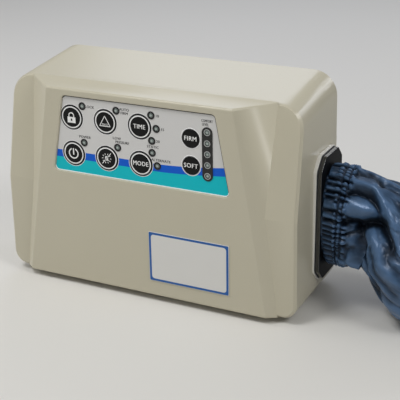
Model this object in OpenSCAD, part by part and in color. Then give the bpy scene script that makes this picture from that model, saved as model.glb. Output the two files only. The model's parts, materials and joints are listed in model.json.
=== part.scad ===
/* [Case] */
// Width of the case across the bottom
case_w = 316; // [304:1:330]
// Depth of the case from the raised front to the flat back
case_d = 120; // [116:1:130]
// Height of the case at the back
case_h = 212; // [208:1:222]
// How much lower the top is at the front than at the back
top_drop = 12; // [8:1:14]
// How far each side leans in from the bottom to the top
side_lean = 3; // [1:0.5:4]
// Thickness of the moulded walls
wall = 3; // [2.5:0.1:3.4]
// Thickness of the raised front round the control panel
front_t = 6; // [5:0.5:7]
// Radius of the two top corners
corner_top_r = 24; // [20:1:28]
// Radius of the two bottom corners
corner_bottom_r = 14; // [12:1:16]
// Depth of the rear shell, from the parting line back
split_back = 27; // [24:1:30]
// Bevel round the edges of the wings
wing_edge = 2.5; // [1.5:0.5:3]
// Bevel round the back edge
back_edge = 5; // [3:0.5:7]
// Radius on the edges of the raised front
edge_r = 3; // [2:0.5:4]

/* [Raised front and wings] */
// Width of the raised front along its top edge
zone_top_w = 195; // [190:1:200]
// Width of the raised front along its bottom edge
zone_bottom_w = 262; // [256:1:268]
// Width over the bevels at the top
bevel_top_w = 260; // [254:1:264]
// Width over the bevels at the ridge
bevel_ridge_w = 252; // [248:1:256]
// Width over the bevels at the bottom
bevel_bottom_w = 280; // [276:1:284]
// Setback of the wings behind the raised front, up to the ridge
wing_y = 8; // [7:0.5:10]
// Setback of the wings at the top
wing_top_y = 28; // [24:1:32]
// Height of the ridge across the wings
ridge_z = 97; // [90:1:104]

/* [Control panel] */
// Height of the panel
panel_h = 76; // [74:1:78]
// Strip of case above the panel
panel_top_gap = 7.6; // [6:0.2:9]
// Strip of case beside the panel
panel_side_gap = 18.3; // [17:0.1:20]
// Corner radius of the panel
panel_r = 4; // [2:0.5:6]
// Depth of the recess down to the panel's face
panel_depth = 2; // [1.2:0.1:2.4]
// Thickness of the keypad overlay
overlay_t = 1.2; // [1:0.1:1.6]
// Width of the ledge that the overlay is stuck to
ledge_w = 3; // [2.5:0.1:4]
// Gap round a piece that sits in a recess
fit_gap = 0.3; // [0.2:0.05:0.4]

/* [Keys] */
// Radius of the six ringed keys
key_r = 11.4; // [10.8:0.1:11.6]
// First column of the ringed keys, from the panel's left edge
key_side_gap = 12.6; // [12.2:0.1:13]
// Pitch of the key columns
key_pitch_x = 37; // [36:0.5:38]
// Pitch of the key rows
key_pitch_z = 36.3; // [35:0.1:37]
// Top row of keys below the panel's top edge
key_top_gap = 20.5; // [19.5:0.1:21]
// Radius of the two firmness keys
level_key_r = 8.8; // [8:0.1:9.5]
// Firmness key column, from the panel's right edge
level_side_gap = 28.5; // [28:0.1:29]
// Pitch of the firmness keys
level_key_pitch = 26.1; // [25:0.1:27]
// Upper firmness key below the panel's top edge
level_key_gap = 25.1; // [24:0.1:26]
// How far a key stands out of the overlay
key_proud = 0.6; // [0.4:0.1:0.8]
// Travel of a key
key_travel = 0.8; // [0.6:0.1:1]
// Width of the flange behind a key
key_flange_w = 0.8; // [0.6:0.1:1]
// Thickness of that flange
key_flange_t = 0.8; // [0.6:0.1:1]

/* [Lamps] */
// Radius of a lamp's lens
lamp_r = 2.4; // [2:0.1:2.6]
// Radius of the bezel round a lamp
lamp_bezel_r = 3.9; // [3.6:0.1:4.1]
// Distance of a lamp from its key, sideways and upwards
lamp_step = 12.3; // [12.3:0.1:12.8]
// Distance of the side lamps from their key
lamp_side_step = 17.4; // [17:0.1:18]
// Column of the level lamps, from the panel's right edge
bar_side_gap = 11.8; // [11:0.1:12.5]
// Width of the level lamp bar
bar_w = 10.6; // [10:0.1:11.2]
// Pitch of the level lamps
bar_pitch = 10.45; // [10:0.05:10.7]
// Number of level lamps
bar_lamps = 5; // [4:1:5]
// Middle of the bar below the panel's top edge
bar_gap = 38.1; // [37:0.1:39]

/* [Name plate] */
// Width of the bare plate
plate_w = 84.8; // [80:0.1:88]
// Height of the bare plate
plate_h = 51.7; // [48:0.1:54]
// Thickness of the plate
plate_t = 0.8; // [0.5:0.1:1]
// Middle of the plate, from the middle of the case
plate_x = 51.7; // [50:0.1:54]
// Middle of the plate above the case's bottom
plate_z = 42.7; // [40:0.1:45]
// Corner radius of the plate
plate_r = 1.5; // [1:0.5:3]

/* [Air outlet and hose] */
// Depth of the hose connector's plate, front to back
port_d = 58; // [56:1:60]
// Height of the hose connector's plate
port_h = 124; // [122:1:126]
// Corner cut of the plate
port_cut = 12; // [8:1:14]
// Rounding of the plate's corners
port_round = 7; // [3:1:9]
// Middle of the plate in front of the case's back
port_back = 38; // [36:0.5:40]
// Middle of the plate above the case's bottom
port_z = 82; // [80:0.5:84]
// Thickness of the connector's plate
port_t = 4.5; // [3.5:0.5:5.5]
// Thickness of the surround under it
rim_t = 4; // [3.5:0.5:5]
// How far the surround shows round the plate
rim_w = 1.5; // [1:0.25:2]
// Depth of the pocket in the case's side for the surround
pocket_t = 3; // [2.6:0.1:3.2]
// Radius of the air nozzles
nozzle_r = 5; // [4.5:0.1:5.5]
// Radius of the air passage in a nozzle
nozzle_bore_r = 3.2; // [2.8:0.1:3.5]
// Pitch of the air nozzles
nozzle_pitch = 21; // [20:0.5:22]
// Number of air nozzles
nozzles = 4; // [3:1:4]
// Height of the collar that the sleeve is stretched over
collar_h = 86; // [84:1:88]
// Depth of that collar
collar_d = 42; // [40:1:44]
// How far the collar stands out of the plate
collar_t = 9; // [8:1:12]
// Height of the gathered cuff over the collar
cuff_h = 98; // [96:1:100]
// Depth of the gathered cuff
cuff_d = 56; // [54:1:58]
// Length of the gathered cuff
cuff_l = 30; // [28:1:34]
// Depth of the cuff's gathers
gather = 1.6; // [1:0.1:2]

/* [Back and base] */
// Height of a foot
foot_h = 6; // [5:0.5:8]
// Radius of a foot
foot_r = 9; // [8:0.5:11]
// Distance of the feet from the case's sides
foot_side = 40; // [36:1:46]
// Distance of the feet from the front and the back
foot_in = 31; // [28:1:32]
// Distance of a hook from the case's side
hook_side = 50; // [47:1:54]
// Width of the gap between a hook's tip and the case
hook_gap = 44; // [40:1:50]
// Thickness of a hook's plate
hook_t = 8; // [7:0.5:9]
// Height of a hook's arm
hook_arm_h = 14; // [12:1:16]
// Length of a hook's tip below its arm
hook_drop = 40; // [34:1:44]
// Top of the hooks below the top of the case
hook_top_gap = 22; // [20:1:24]
// Radius of a hook's pin
hook_pin_r = 2.5; // [2:0.25:3]
// Running clearance round a pin or a shaft
run_gap = 0.05; // [0.03:0.01:0.08]
// Width of the air filter's cover
filter_w = 62; // [58:1:66]
// Height of the air filter's cover
filter_h = 44; // [40:1:46]
// Middle of the filter, from the middle of the case
filter_x = -40; // [-44:1:-36]
// Middle of the filter above the case's bottom
filter_z = 104; // [102:1:106]
// Middle of the mains inlet, from the case's right side
inlet_side = 54; // [50:1:58]
// Middle of the mains inlet above the case's bottom
inlet_z = 40; // [36:1:44]

/* [Compressor] */
// Middle of the compressor, from the middle of the case
comp_x = -76; // [-80:1:-72]
// Middle of the compressor in front of the back wall
comp_back = 52; // [50:1:56]
// Height of the compressor's rubber mounts
mount_h = 9; // [8:0.5:12]
// Half the distance between the two end frames
frame_x = 38; // [36:1:40]
// Height of the shuttle above the compressor's base plate
shuttle_up = 28; // [27:1:30]
// Radius of a diaphragm
diaphragm_r = 22; // [20:0.5:23]
// Radius of the hub on each end of the shuttle
hub_r = 9; // [8:0.5:10]
// Travel of the shuttle each way
shuttle_travel = 1.5; // [1:0.1:2]

/* [Valve and boards] */
// Face of the rotary valve, from the middle of the case
valve_x = 62; // [60:1:66]
// Radius of the valve's body
valve_r = 24; // [22:1:25]
// Radius of the valve's motor
valve_motor_r = 20; // [18:1:22]
// Length of the valve's motor
valve_motor_l = 22; // [20:1:24]
// Radius of the motor's shaft
valve_shaft_r = 3; // [2.5:0.25:3.5]
// Thickness of a circuit board
board_t = 1.6; // [1.2:0.2:2]
// Gap behind the raised front for the key stems
board_gap = 6; // [5.6:0.2:8]
// Width of the mains transformer
trafo_w = 52; // [48:1:54]

/* [Hidden] */
$fn = 48;
hull_fn = 32;
ball_fn = 16;
eps = 0.01;

// Case outline: half width and top height at any height or depth
function half_w(z) = case_w / 2 - side_lean * z / case_h;
function top_z(y) = case_h - top_drop * (1 - y / case_d);
function zone_x(z) = (zone_bottom_w + (zone_top_w - zone_bottom_w) * z / top_z(0)) / 2;
wing_top_z = top_z(wing_top_y);
wing_lean = atan((wing_top_y - wing_y) / (wing_top_z - ridge_z));
wing_len = norm([wing_top_y - wing_y, wing_top_z - ridge_z]);
ridge_r = 4;
zone_tuck = 5;
split_y = case_d - split_back;

// Panel, keys and lamps on the raised front
panel_top = top_z(0) - panel_top_gap;
panel_bottom = panel_top - panel_h;
panel_y = panel_depth + overlay_t;
key_z = [for (j = [0:1]) panel_top - key_top_gap - j * key_pitch_z];
panel_reach = panel_half(key_z[0], 0);
key_x = [for (i = [0:2]) key_side_gap - panel_reach + i * key_pitch_x];
level_key_x = panel_reach - level_side_gap;
bar_x = panel_reach - bar_side_gap;
level_key_z = [for (j = [0:1]) panel_top - level_key_gap - j * level_key_pitch];
bar_z = panel_top - bar_gap;
bar_h = bar_lamps * bar_pitch - 0.5;
level_lamp_z = [for (i = [0:bar_lamps - 1]) bar_z + ((bar_lamps - 1) / 2 - i) * bar_pitch];
lamp_places = [for (i = [0:2], j = [0:1]) [key_x[i] + lamp_step, key_z[j] + lamp_step],
               [key_x[2] + lamp_side_step, key_z[0]], [key_x[2] + lamp_step, key_z[0] - lamp_step],
               [key_x[2] + lamp_side_step, key_z[1]]];
board_y = front_t + board_gap;
board_back_y = board_y + board_t;
board_grow = 9;
board_up = 1;
board_down = 4;
board_post_r = 3.5;
board_post_out = 5;
board_screw_r = 1.5;
switch_h = 3.1;
switch_w = 6;
plunger_r = 1.7;
stem_r = 2.5;
stem_gap = 0.1;
stem_end = board_y - switch_h - key_travel - stem_gap;

// Screw bosses that join the two shells
boss_r = 6;
boss_in = 4;
boss_z = [corner_bottom_r + 2, case_h - corner_top_r - 16];
screw_r = 2;
screw_head_r = 4;
screw_sink = 6;
screw_l = 34;

// Side outlet
port_y = case_d - port_back;
pocket_x = case_w / 2 - pocket_t;
surround_x = pocket_x + rim_t;
connector_x = surround_x + port_t;
collar_x = connector_x + collar_t;
port_inner_d = collar_d - 2;
port_inner_h = collar_h + 14;
backing_x = pocket_x - 4;
flange_w = 6;
flange_t = 3;
nozzle_tip_x = collar_x - 2;
nozzle_z = [for (i = [0:nozzles - 1]) port_z + (i - (nozzles - 1) / 2) * nozzle_pitch];
manifold_t = 22;
manifold_tail = 10;
manifold_x = pocket_x - manifold_t;
tube_end = manifold_x - manifold_tail;

// Back, hooks and base
back_y = case_d - wall;
hook_x = case_w / 2 - hook_side;
foot_x = case_w / 2 - foot_side;
inlet_x = case_w / 2 - inlet_side;
hook_y = case_d + hook_t;
hook_top = case_h - hook_top_gap;
hook_barrel_r = hook_t - 1.5;
lug_t = 5.5;
lug_w = 14;
barrel_h = 24;
hook_tip_t = hook_t + 1.5;
lug_gap = 0.3;
filter_t = 3;
filter_rim = 3;
foam_t = 8;
tray_bar = 2;
inlet_w = 27.5;
inlet_h = 20;
inlet_l = 22;
inlet_flange = 4;
inlet_flange_t = 3;

// Compressor
comp_y = case_d - comp_back;
comp_base_t = 2.5;
comp_base_z = wall + mount_h + comp_base_t;
shuttle_z = comp_base_z + shuttle_up;
frame_t = 4;
frame_w = 2 * diaphragm_r + 8;
diaphragm_t = 2;
head_x = frame_x + frame_t + diaphragm_t;
head_t = 16;
head_nozzle_r = 4;
head_nozzle_h = 8;
shuttle_w = 8;
shuttle_h = 14;
coil_gap = 2;
coil_t = 6;
core_t = 14;
core_w = 44;
silencer_r = 15;
head_tube_l = 6;
silencer_z = shuttle_z + frame_w / 2 + head_nozzle_h + head_tube_l + silencer_r;
silencer_l = 2 * head_x + head_t + 10;

// Rotary valve
valve_y = port_y - 14;
valve_z = port_z;
valve_t = 18;
valve_wall = 3;
rotor_t = 6;
rotor_gap = 0.4;
valve_end = valve_x + valve_t;
port_circle_r = 13;
tube_r = 5;
tube_start = valve_end + 8;

// Boards and transformer
main_board_x = -2;
main_board_w = 84;
main_board_h = 74;
main_board_z = 92;
main_board_y = back_y - 8;
trafo_d = 44;
trafo_h = 42;
trafo_x = valve_x - 20 - trafo_w;
trafo_back = 6;

// The origin stands under the middle of the pump without its hose
box_x = [-half_w(0), nozzle_tip_x];
box_y = [-plate_t, case_d + hook_gap + hook_tip_t];

module place() {
    translate([-(box_x[0] + box_x[1]) / 2, -(box_y[0] + box_y[1]) / 2, foot_h]) children();
}

// Helpers
function arc(cx, cy, r, a0, a1, n) = [for (i = [0:n]) [cx + r * cos(a0 + (a1 - a0) * i / n), cy + r * sin(a0 + (a1 - a0) * i / n)]];

// Outline with four rounded corners, each given by its place
function rounded(q, r) = concat(
    arc(q[0][0] + r, q[0][1] + r, r, 180, 270, 6), arc(q[1][0] - r, q[1][1] + r, r, 270, 360, 6),
    arc(q[2][0] - r, q[2][1] - r, r, 0, 90, 6), arc(q[3][0] + r, q[3][1] - r, r, 90, 180, 6));

// Outline of the panel in X and Z, grown all round
function panel_half(z, grow) = zone_x(z) - panel_side_gap + grow;
function face_outline(grow, z0, z1, r) = rounded([[-panel_half(z0, grow), z0], [panel_half(z0, grow), z0],
    [panel_half(z1, grow), z1], [-panel_half(z1, grow), z1]], r);
function panel_outline(grow, r) = face_outline(grow, panel_bottom - grow, panel_top + grow, r);

// Outline with each corner of another one rounded
function unit(v) = v / norm(v);
function soft_corner(a, v, b, r, n) = let (u = unit(a - v), w = unit(b - v), turn = 180 - acos(u * w), t = r * tan(turn / 2),
    c = v + unit(u + w) * r / cos(turn / 2), p = v + u * t - c, q = v + w * t - c)
    [for (i = [0:n]) c + (sin(turn * (1 - i / n)) * p + sin(turn * i / n) * q) / sin(turn)];
function softened(q, r) = let (m = len(q)) [for (i = [0:m - 1]) each soft_corner(q[(i + m - 1) % m], q[i], q[(i + 1) % m], r, 4)];

// Rectangle with cut corners, in the plane of the case's side
function cut_outline(d, h, c) = [[-d / 2 + c, -h / 2], [d / 2 - c, -h / 2], [d / 2, -h / 2 + c], [d / 2, h / 2 - c],
    [d / 2 - c, h / 2], [-d / 2 + c, h / 2], [-d / 2, h / 2 - c], [-d / 2, -h / 2 + c]];

// A plate drawn in X and Z that runs from y0 back to y1
module front_plate(points, y0, y1) {
    translate([0, y1, 0]) rotate([90, 0, 0]) linear_extrude(y1 - y0) polygon(points);
}

// A plate drawn in Y and Z that runs from x0 out to x1
module side_plate(x0, x1) {
    translate([x0, 0, 0]) rotate([90, 0, 90]) linear_extrude(x1 - x0) children();
}

// A round bar from the front backwards
module rod_y(r, x, z, y0, y1) {
    translate([x, y0, z]) rotate([-90, 0, 0]) cylinder(r = r, h = y1 - y0);
}

// A round bar from left to right
module rod_x(r, y, z, x0, x1) {
    translate([x0, y, z]) rotate([0, 90, 0]) cylinder(r = r, h = x1 - x0);
}

// A block from one corner to the other
module block(a, b) {
    translate(a) cube(b - a);
}

// A disc with a bevel on its first face, standing on the front of a wall
module puck(r, bevel) {
    cylinder(r1 = r - bevel, r2 = r, h = max(bevel, eps), $fn = hull_fn);
}

// Tube through a list of ring centres, with a section of its own at each ring
function along(p, i) = let (a = p[max(i - 1, 0)], b = p[min(i + 1, len(p) - 1)]) (b - a) / norm(b - a);
function ring(p, i, up, section) = let (t = along(p, i), u = up - (up * t) * t, v = u / norm(u), w = cross(t, v))
    [for (s = section) p[i] + s[0] * w + s[1] * v];
function tube_faces(n, m) = concat(
    [for (k = [0:m - 2], i = [0:n - 1]) [k * n + i, (k + 1) * n + i, k * n + (i + 1) % n]],
    [for (k = [0:m - 2], i = [0:n - 1]) [(k + 1) * n + i, (k + 1) * n + (i + 1) % n, k * n + (i + 1) % n]],
    [for (i = [1:n - 2]) [0, i, i + 1]], [for (i = [1:n - 2]) [(m - 1) * n, (m - 1) * n + i + 1, (m - 1) * n + i]]);
module sweep(path, sections, up) {
    n = len(sections[0]);
    polyhedron([for (i = [0:len(path) - 1]) each ring(path, i, up, sections[i])], tube_faces(n, len(path)), convexity = 6);
}
module round_sweep(path, r, sides, up) {
    circle_points = [for (i = [0:sides - 1]) [r * sin(i * 360 / sides), r * cos(i * 360 / sides)]];
    sweep(path, [for (p = path) circle_points], up);
}

// The body of the case behind the wings, shrunk all round by a wall
module case_mass(inset, bevel, rear_bevel) {
    hull() {
        for (side = [-1, 1]) {
            translate([side * (half_w(case_h) - corner_top_r), case_d - inset, case_h - corner_top_r])
                rotate([90, 0, 0]) puck(corner_top_r - inset, rear_bevel);
            translate([side * (half_w(0) - corner_bottom_r), case_d - inset, corner_bottom_r])
                rotate([90, 0, 0]) puck(corner_bottom_r - inset, rear_bevel);
            translate([side * (half_w(0) - corner_bottom_r), wing_y + inset, corner_bottom_r])
                rotate([-90, 0, 0]) puck(corner_bottom_r - inset, bevel);
            translate([side * (half_w(ridge_z) - ridge_r), wing_y + inset, ridge_z])
                rotate([-90, 0, 0]) puck(ridge_r - inset + eps, min(bevel, ridge_r - 1));
            translate([side * (half_w(wing_top_z) - corner_top_r),
                       wing_y + (wing_len - corner_top_r) * sin(wing_lean) + inset * cos(wing_lean),
                       ridge_z + (wing_len - corner_top_r) * cos(wing_lean) - inset * sin(wing_lean)])
                rotate([-90 - wing_lean, 0, 0]) puck(corner_top_r - inset, bevel);
        }
    }
}

// One end of a raised-front block: its two front corners, two points on the wings and two behind them
module zone_level(z, x, wing_x, wing_at, z_wing, y0, dot) {
    for (side = [-1, 1]) {
        translate([side * x, y0, z]) children();
        translate([side * wing_x, wing_at, z_wing]) cube(dot, center = true);
        translate([side * (wing_x - zone_tuck), wing_at + zone_tuck, z_wing]) cube(dot, center = true);
    }
}
module zone_ball() {
    sphere(r = edge_r / cos(180 / ball_fn), $fn = ball_fn);
}

// The raised front with its two bevels, above and below the ridge
module zone_mass() {
    in = 0.35 * edge_r;
    hull() {
        zone_level(top_z(0) - 0.9 * edge_r, zone_x(top_z(0)) - in, bevel_top_w / 2, wing_top_y, wing_top_z - eps, edge_r, eps) zone_ball();
        zone_level(ridge_z, zone_x(ridge_z) - in, bevel_ridge_w / 2, wing_y, ridge_z, edge_r, eps) zone_ball();
    }
    hull() {
        zone_level(ridge_z, zone_x(ridge_z) - in, bevel_ridge_w / 2, wing_y, ridge_z, edge_r, eps) zone_ball();
        zone_level(edge_r, zone_x(0) - in, bevel_bottom_w / 2, wing_y, eps, edge_r, eps) zone_ball();
    }
}

// The hollow behind the raised front
module zone_hollow() {
    in = 1.3 * wall;
    dot = 0.6;
    y0 = front_t + dot / 2;
    hull() {
        zone_level(top_z(0) - wall - 1, zone_x(top_z(0)) - in, bevel_top_w / 2 - in, wing_top_y + wall, wing_top_z - 1.5 * wall, y0, dot)
            cube(dot, center = true);
        zone_level(ridge_z, zone_x(ridge_z) - in, bevel_ridge_w / 2 - in, wing_y + wall, ridge_z, y0, dot) cube(dot, center = true);
    }
    hull() {
        zone_level(ridge_z, zone_x(ridge_z) - in, bevel_ridge_w / 2 - in, wing_y + wall, ridge_z, y0, dot) cube(dot, center = true);
        zone_level(wall + dot / 2, zone_x(0) - in, bevel_bottom_w / 2 - in, wing_y + wall, wall + dot / 2, y0, dot) cube(dot, center = true);
    }
}

// Pocket and window in the case's side for the air outlet
module outlet_cut() {
    translate([0, port_y, port_z]) {
        side_plate(pocket_x, case_w) polygon(softened(cut_outline(port_d + 2 * (rim_w + fit_gap), port_h + 2 * (rim_w + fit_gap), port_cut), port_round));
        side_plate(pocket_x - 3 * wall, case_w) square([port_inner_d + 2 * fit_gap, port_inner_h + 2 * fit_gap], center = true);
    }
}

// Thick wall behind that pocket, between two depths
module outlet_backing(y0, y1) {
    block([backing_x, max(y0, port_y - port_d / 2 - 5), port_z - port_h / 2 - 4], [pocket_x + 0.2, min(y1, back_y + eps), port_z + port_h / 2 + 4]);
}

module at_bosses() {
    for (side = [-1, 1], z = boss_z) translate([side * (half_w(z) - wall - boss_in), 0, z]) children();
}

module front_case() {
    color([0.74, 0.72, 0.66]) place() difference() {
        union() {
            difference() {
                intersection() {
                    union() {
                        case_mass(0, wing_edge, back_edge);
                        zone_mass();
                    }
                    block([-case_w, -case_d, -case_h], [case_w, split_y, 2 * case_h]);
                }
                case_mass(wall, 0, 0);
                zone_hollow();
            }
            at_bosses() rod_y(boss_r, 0, 0, wing_top_y, split_y);
            board_posts();
            outlet_backing(0, split_y);
        }
        front_plate(panel_outline(fit_gap, panel_r), -eps, panel_y);
        front_plate(panel_outline(-ledge_w, panel_r), -eps, front_t + eps);
        for (x = key_x, z = key_z) rod_y(key_r + key_flange_w + fit_gap, x, z, panel_y - eps, front_t + eps);
        at_bosses() rod_y(screw_r, 0, 0, case_d - screw_sink - screw_l - 2, split_y + eps);
        board_screw_holes(front_t - 1);
        outlet_cut();
        foot_holes();
    }
}

module rear_case() {
    color([0.76, 0.74, 0.68]) place() difference() {
        union() {
            difference() {
                intersection() {
                    case_mass(0, wing_edge, back_edge);
                    block([-case_w, split_y, -case_h], [case_w, 2 * case_d, 2 * case_h]);
                }
                case_mass(wall, 0, 0);
            }
            at_bosses() rod_y(boss_r, 0, 0, split_y, back_y + eps);
            hook_lugs();
            main_board_posts();
            filter_tray();
            outlet_backing(split_y, case_d);
        }
        at_bosses() {
            rod_y(screw_r + 0.3, 0, 0, split_y - eps, case_d + eps);
            rod_y(screw_head_r + fit_gap, 0, 0, case_d - screw_sink, case_d + eps);
        }
        hook_lug_holes();
        translate([filter_x, 0, filter_z]) block([filter_rim - filter_w / 2, back_y - foam_t, filter_rim - filter_h / 2],
            [filter_w / 2 - filter_rim, case_d + eps, filter_h / 2 - filter_rim]);
        translate([inlet_x, 0, inlet_z]) block([-inlet_w / 2 - fit_gap, back_y - 1, -inlet_h / 2 - fit_gap], [inlet_w / 2 + fit_gap, case_d + eps, inlet_h / 2 + fit_gap]);
        outlet_cut();
        foot_holes();
    }
}

module at_board_posts() {
    for (side = [-1, 1], z = [panel_bottom + 4, panel_top - 8]) translate([side * panel_half(z, board_post_out), 0, z]) children();
}

module board_posts() {
    at_board_posts() rod_y(board_post_r, 0, 0, front_t - eps, board_y);
}

module board_screw_holes(y) {
    at_board_posts() rod_y(board_screw_r, 0, 0, y, board_back_y + eps);
}

module keypad_overlay() {
    color([0.80, 0.80, 0.80]) place() difference() {
        front_plate(panel_outline(0, panel_r), panel_depth, panel_y);
        for (x = key_x, z = key_z) rod_y(key_r + fit_gap, x, z, 0, front_t);
        for (z = level_key_z) rod_y(level_key_r + fit_gap, level_key_x, z, 0, front_t);
        for (p = lamp_places) rod_y(lamp_bezel_r - 0.6, p[0], p[1], 0, front_t);
        bar_shape(bar_w / 2 - 0.6, 0, front_t);
    }
}

// The long rounded shape of the level lamp bar
module bar_shape(r, y0, y1) {
    for (z = [bar_z - bar_h / 2 + bar_w / 2, bar_z + bar_h / 2 - bar_w / 2]) rod_y(r, bar_x, z, y0, y1);
    block([bar_x - r, y0, bar_z - bar_h / 2 + bar_w / 2], [bar_x + r, y1, bar_z + bar_h / 2 - bar_w / 2]);
}

// One key: cap, flange behind the overlay and stem
module key(x, z, r) {
    cap_y = panel_depth - key_proud;
    color([0.08, 0.08, 0.09]) place() {
        rod_y(r, x, z, cap_y, panel_y + fit_gap);
        rod_y(r + key_flange_w, x, z, panel_y + fit_gap - eps, panel_y + fit_gap + key_flange_t);
        rod_y(stem_r, x, z, panel_y + fit_gap + key_flange_t - eps, stem_end);
    }
}
module key_lock() { key(key_x[0], key_z[0], key_r); }
module key_firm_hold() { key(key_x[1], key_z[0], key_r); }
module key_timer() { key(key_x[2], key_z[0], key_r); }
module key_power() { key(key_x[0], key_z[1], key_r); }
module key_mute() { key(key_x[1], key_z[1], key_r); }
module key_mode() { key(key_x[2], key_z[1], key_r); }
module key_firmer() { key(level_key_x, level_key_z[0], level_key_r); }
module key_softer() { key(level_key_x, level_key_z[1], level_key_r); }

// A bezel lies on the overlay and has a neck through it
module lamp_bezels() {
    color([0.12, 0.12, 0.13]) place() for (p = lamp_places) difference() {
        union() {
            rod_y(lamp_bezel_r, p[0], p[1], panel_depth - 0.5, panel_depth);
            rod_y(lamp_bezel_r - 0.8, p[0], p[1], panel_depth - eps, panel_y);
        }
        rod_y(lamp_r + 0.1, p[0], p[1], 0, front_t);
    }
}

// A lamp's lens and body reach back to the control board
module lamp(x, z) {
    rod_y(lamp_r, x, z, panel_depth - 0.3, board_y);
}
module lamp_lenses() {
    color([0.25, 0.28, 0.28]) place() for (p = lamp_places) lamp(p[0], p[1]);
}
module level_bar() {
    color([0.06, 0.06, 0.07]) place() difference() {
        union() {
            bar_shape(bar_w / 2, panel_depth - 0.5, panel_depth);
            bar_shape(bar_w / 2 - 0.8, panel_depth - eps, panel_y);
        }
        for (z = level_lamp_z) rod_y(lamp_r + 0.1, bar_x, z, 0, front_t);
    }
}
module level_lamps() {
    color([0.35, 0.36, 0.34]) place() for (z = level_lamp_z) lamp(bar_x, z);
}

module name_plate() {
    color([0.86, 0.87, 0.88]) place() front_plate(rounded([[plate_x - plate_w / 2, plate_z - plate_h / 2],
        [plate_x + plate_w / 2, plate_z - plate_h / 2], [plate_x + plate_w / 2, plate_z + plate_h / 2],
        [plate_x - plate_w / 2, plate_z + plate_h / 2]], plate_r), -plate_t, 0);
}

module control_board() {
    color([0.10, 0.32, 0.18]) place() difference() {
        front_plate(face_outline(board_grow, panel_bottom - board_down, panel_top + board_up, panel_r), board_y, board_back_y);
        board_screw_holes(board_y - 1);
    }
}

// One switch under each key
module key_switches() {
    color([0.30, 0.30, 0.32]) place() for (k = concat([for (x = key_x, z = key_z) [x, z]], [for (z = level_key_z) [level_key_x, z]])) {
        block([k[0] - switch_w / 2, board_y - switch_h + 1, k[1] - switch_w / 2], [k[0] + switch_w / 2, board_y, k[1] + switch_w / 2]);
        rod_y(plunger_r, k[0], k[1], board_y - switch_h, board_y - switch_h + 1 + eps);
    }
}

module board_screws() {
    color([0.70, 0.70, 0.72]) place() at_board_posts() {
        rod_y(board_screw_r - run_gap, 0, 0, front_t + 1, board_back_y + eps);
        rod_y(2 * board_screw_r, 0, 0, board_back_y, board_back_y + 1.8);
    }
}

// Flat cable from the control board to the main board
module ribbon_cable() {
    ribbon_w = 20;
    ribbon_t = 0.8;
    z0 = panel_top - 14;
    z1 = main_board_z + main_board_h / 2 - 4;
    color([0.55, 0.56, 0.60]) place() translate([main_board_x + 10, 0, 0]) rotate([90, 0, 90]) linear_extrude(ribbon_w)
        polygon([[board_back_y, z0], [board_back_y + 6, z0], [main_board_y - 16, z1], [main_board_y, z1],
                 [main_board_y, z1 - ribbon_t], [main_board_y - 16.4, z1 - ribbon_t], [board_back_y + 5.6, z0 - ribbon_t],
                 [board_back_y, z0 - ribbon_t]]);
}

module outlet_surround() {
    color([0.78, 0.76, 0.70]) place() translate([0, port_y, port_z]) side_plate(pocket_x, surround_x) difference() {
        polygon(softened(cut_outline(port_d + 2 * rim_w, port_h + 2 * rim_w, port_cut), port_round));
        square([port_inner_d + 2 * fit_gap, port_inner_h + 2 * fit_gap], center = true);
    }
}

// Block behind the outlet with a nozzle for each air line on both sides
module outlet_manifold() {
    color([0.16, 0.16, 0.17]) place() difference() {
        union() {
            translate([0, port_y, port_z]) {
                side_plate(manifold_x, surround_x - 1) square([port_inner_d, port_inner_h], center = true);
                side_plate(backing_x - flange_t, backing_x) square([port_inner_d + 2 * flange_w, port_inner_h + 2 * flange_w], center = true);
            }
            for (z = nozzle_z) rod_x(nozzle_r, port_y, z, tube_end, nozzle_tip_x);
        }
        for (z = nozzle_z) rod_x(nozzle_bore_r, port_y, z, tube_end - eps, collar_x);
    }
}

// Rounded block in the plane of the case's side
module collar_shape(d, h) {
    for (s = [-1, 1]) translate([0, s * (h - d) / 2]) circle(d = d);
    square([d, h - d], center = true);
}

module hose_connector() {
    color([0.09, 0.09, 0.10]) place() difference() {
        translate([0, port_y, port_z]) {
            side_plate(surround_x, connector_x) polygon(softened(cut_outline(port_d, port_h, port_cut), port_round - 1));
            side_plate(connector_x - eps, collar_x) collar_shape(collar_d, collar_h);
        }
        for (z = nozzle_z) rod_x(nozzle_r + fit_gap, port_y, z, surround_x - eps, collar_x + eps);
    }
}

// Gathered section: an upright oval whose edge goes in and out
cuff_sides = 48;
function oval(d, h, k, n, depth) = [for (i = [0:n - 1]) let (a = i * 360 / n, g = (i % 2 == 0 ? 0 : -depth) + k)
    [(d / 2 + g) * sin(a), (h / 2 + g) * cos(a)]];
cuff_tilt = 12;
cuff_steps = [[0, 0, 1, 0], [0.2, 0.6, 1, 0], [0.4, 0.8, 1, 0.2], [0.6, 0, 1.2, 0.8], [0.75, -2, 1.4, 1.5], [0.88, -3, 1.2, 2.2]];

cuff_last = cuff_steps[len(cuff_steps) - 1];
cuff_end = [connector_x + cuff_l, port_y, port_z - cuff_last[3] - (1 - cuff_last[0]) * cuff_l * tan(cuff_tilt)];

module sleeve_cuff() {
    path = concat([for (s = cuff_steps) [connector_x + s[0] * cuff_l, port_y, port_z - s[3]]], [cuff_end]);
    color([0.16, 0.22, 0.36]) place() difference() {
        sweep(path, [for (s = concat(cuff_steps, [[1, -1, 0.8]])) oval(cuff_d, cuff_h, s[1], cuff_sides, gather * s[2])], [0, 0, 1]);
        translate([0, port_y, port_z]) side_plate(connector_x - 1, collar_x + 4) collar_shape(collar_d + 2 * fit_gap, collar_h + 2 * fit_gap);
    }
}

// Size of the plug at the far end, which lies on the floor
far_w = 104;
far_h = 56;
far_t = 14;
far_cut = 10;
far_nozzle_l = 16;

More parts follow.
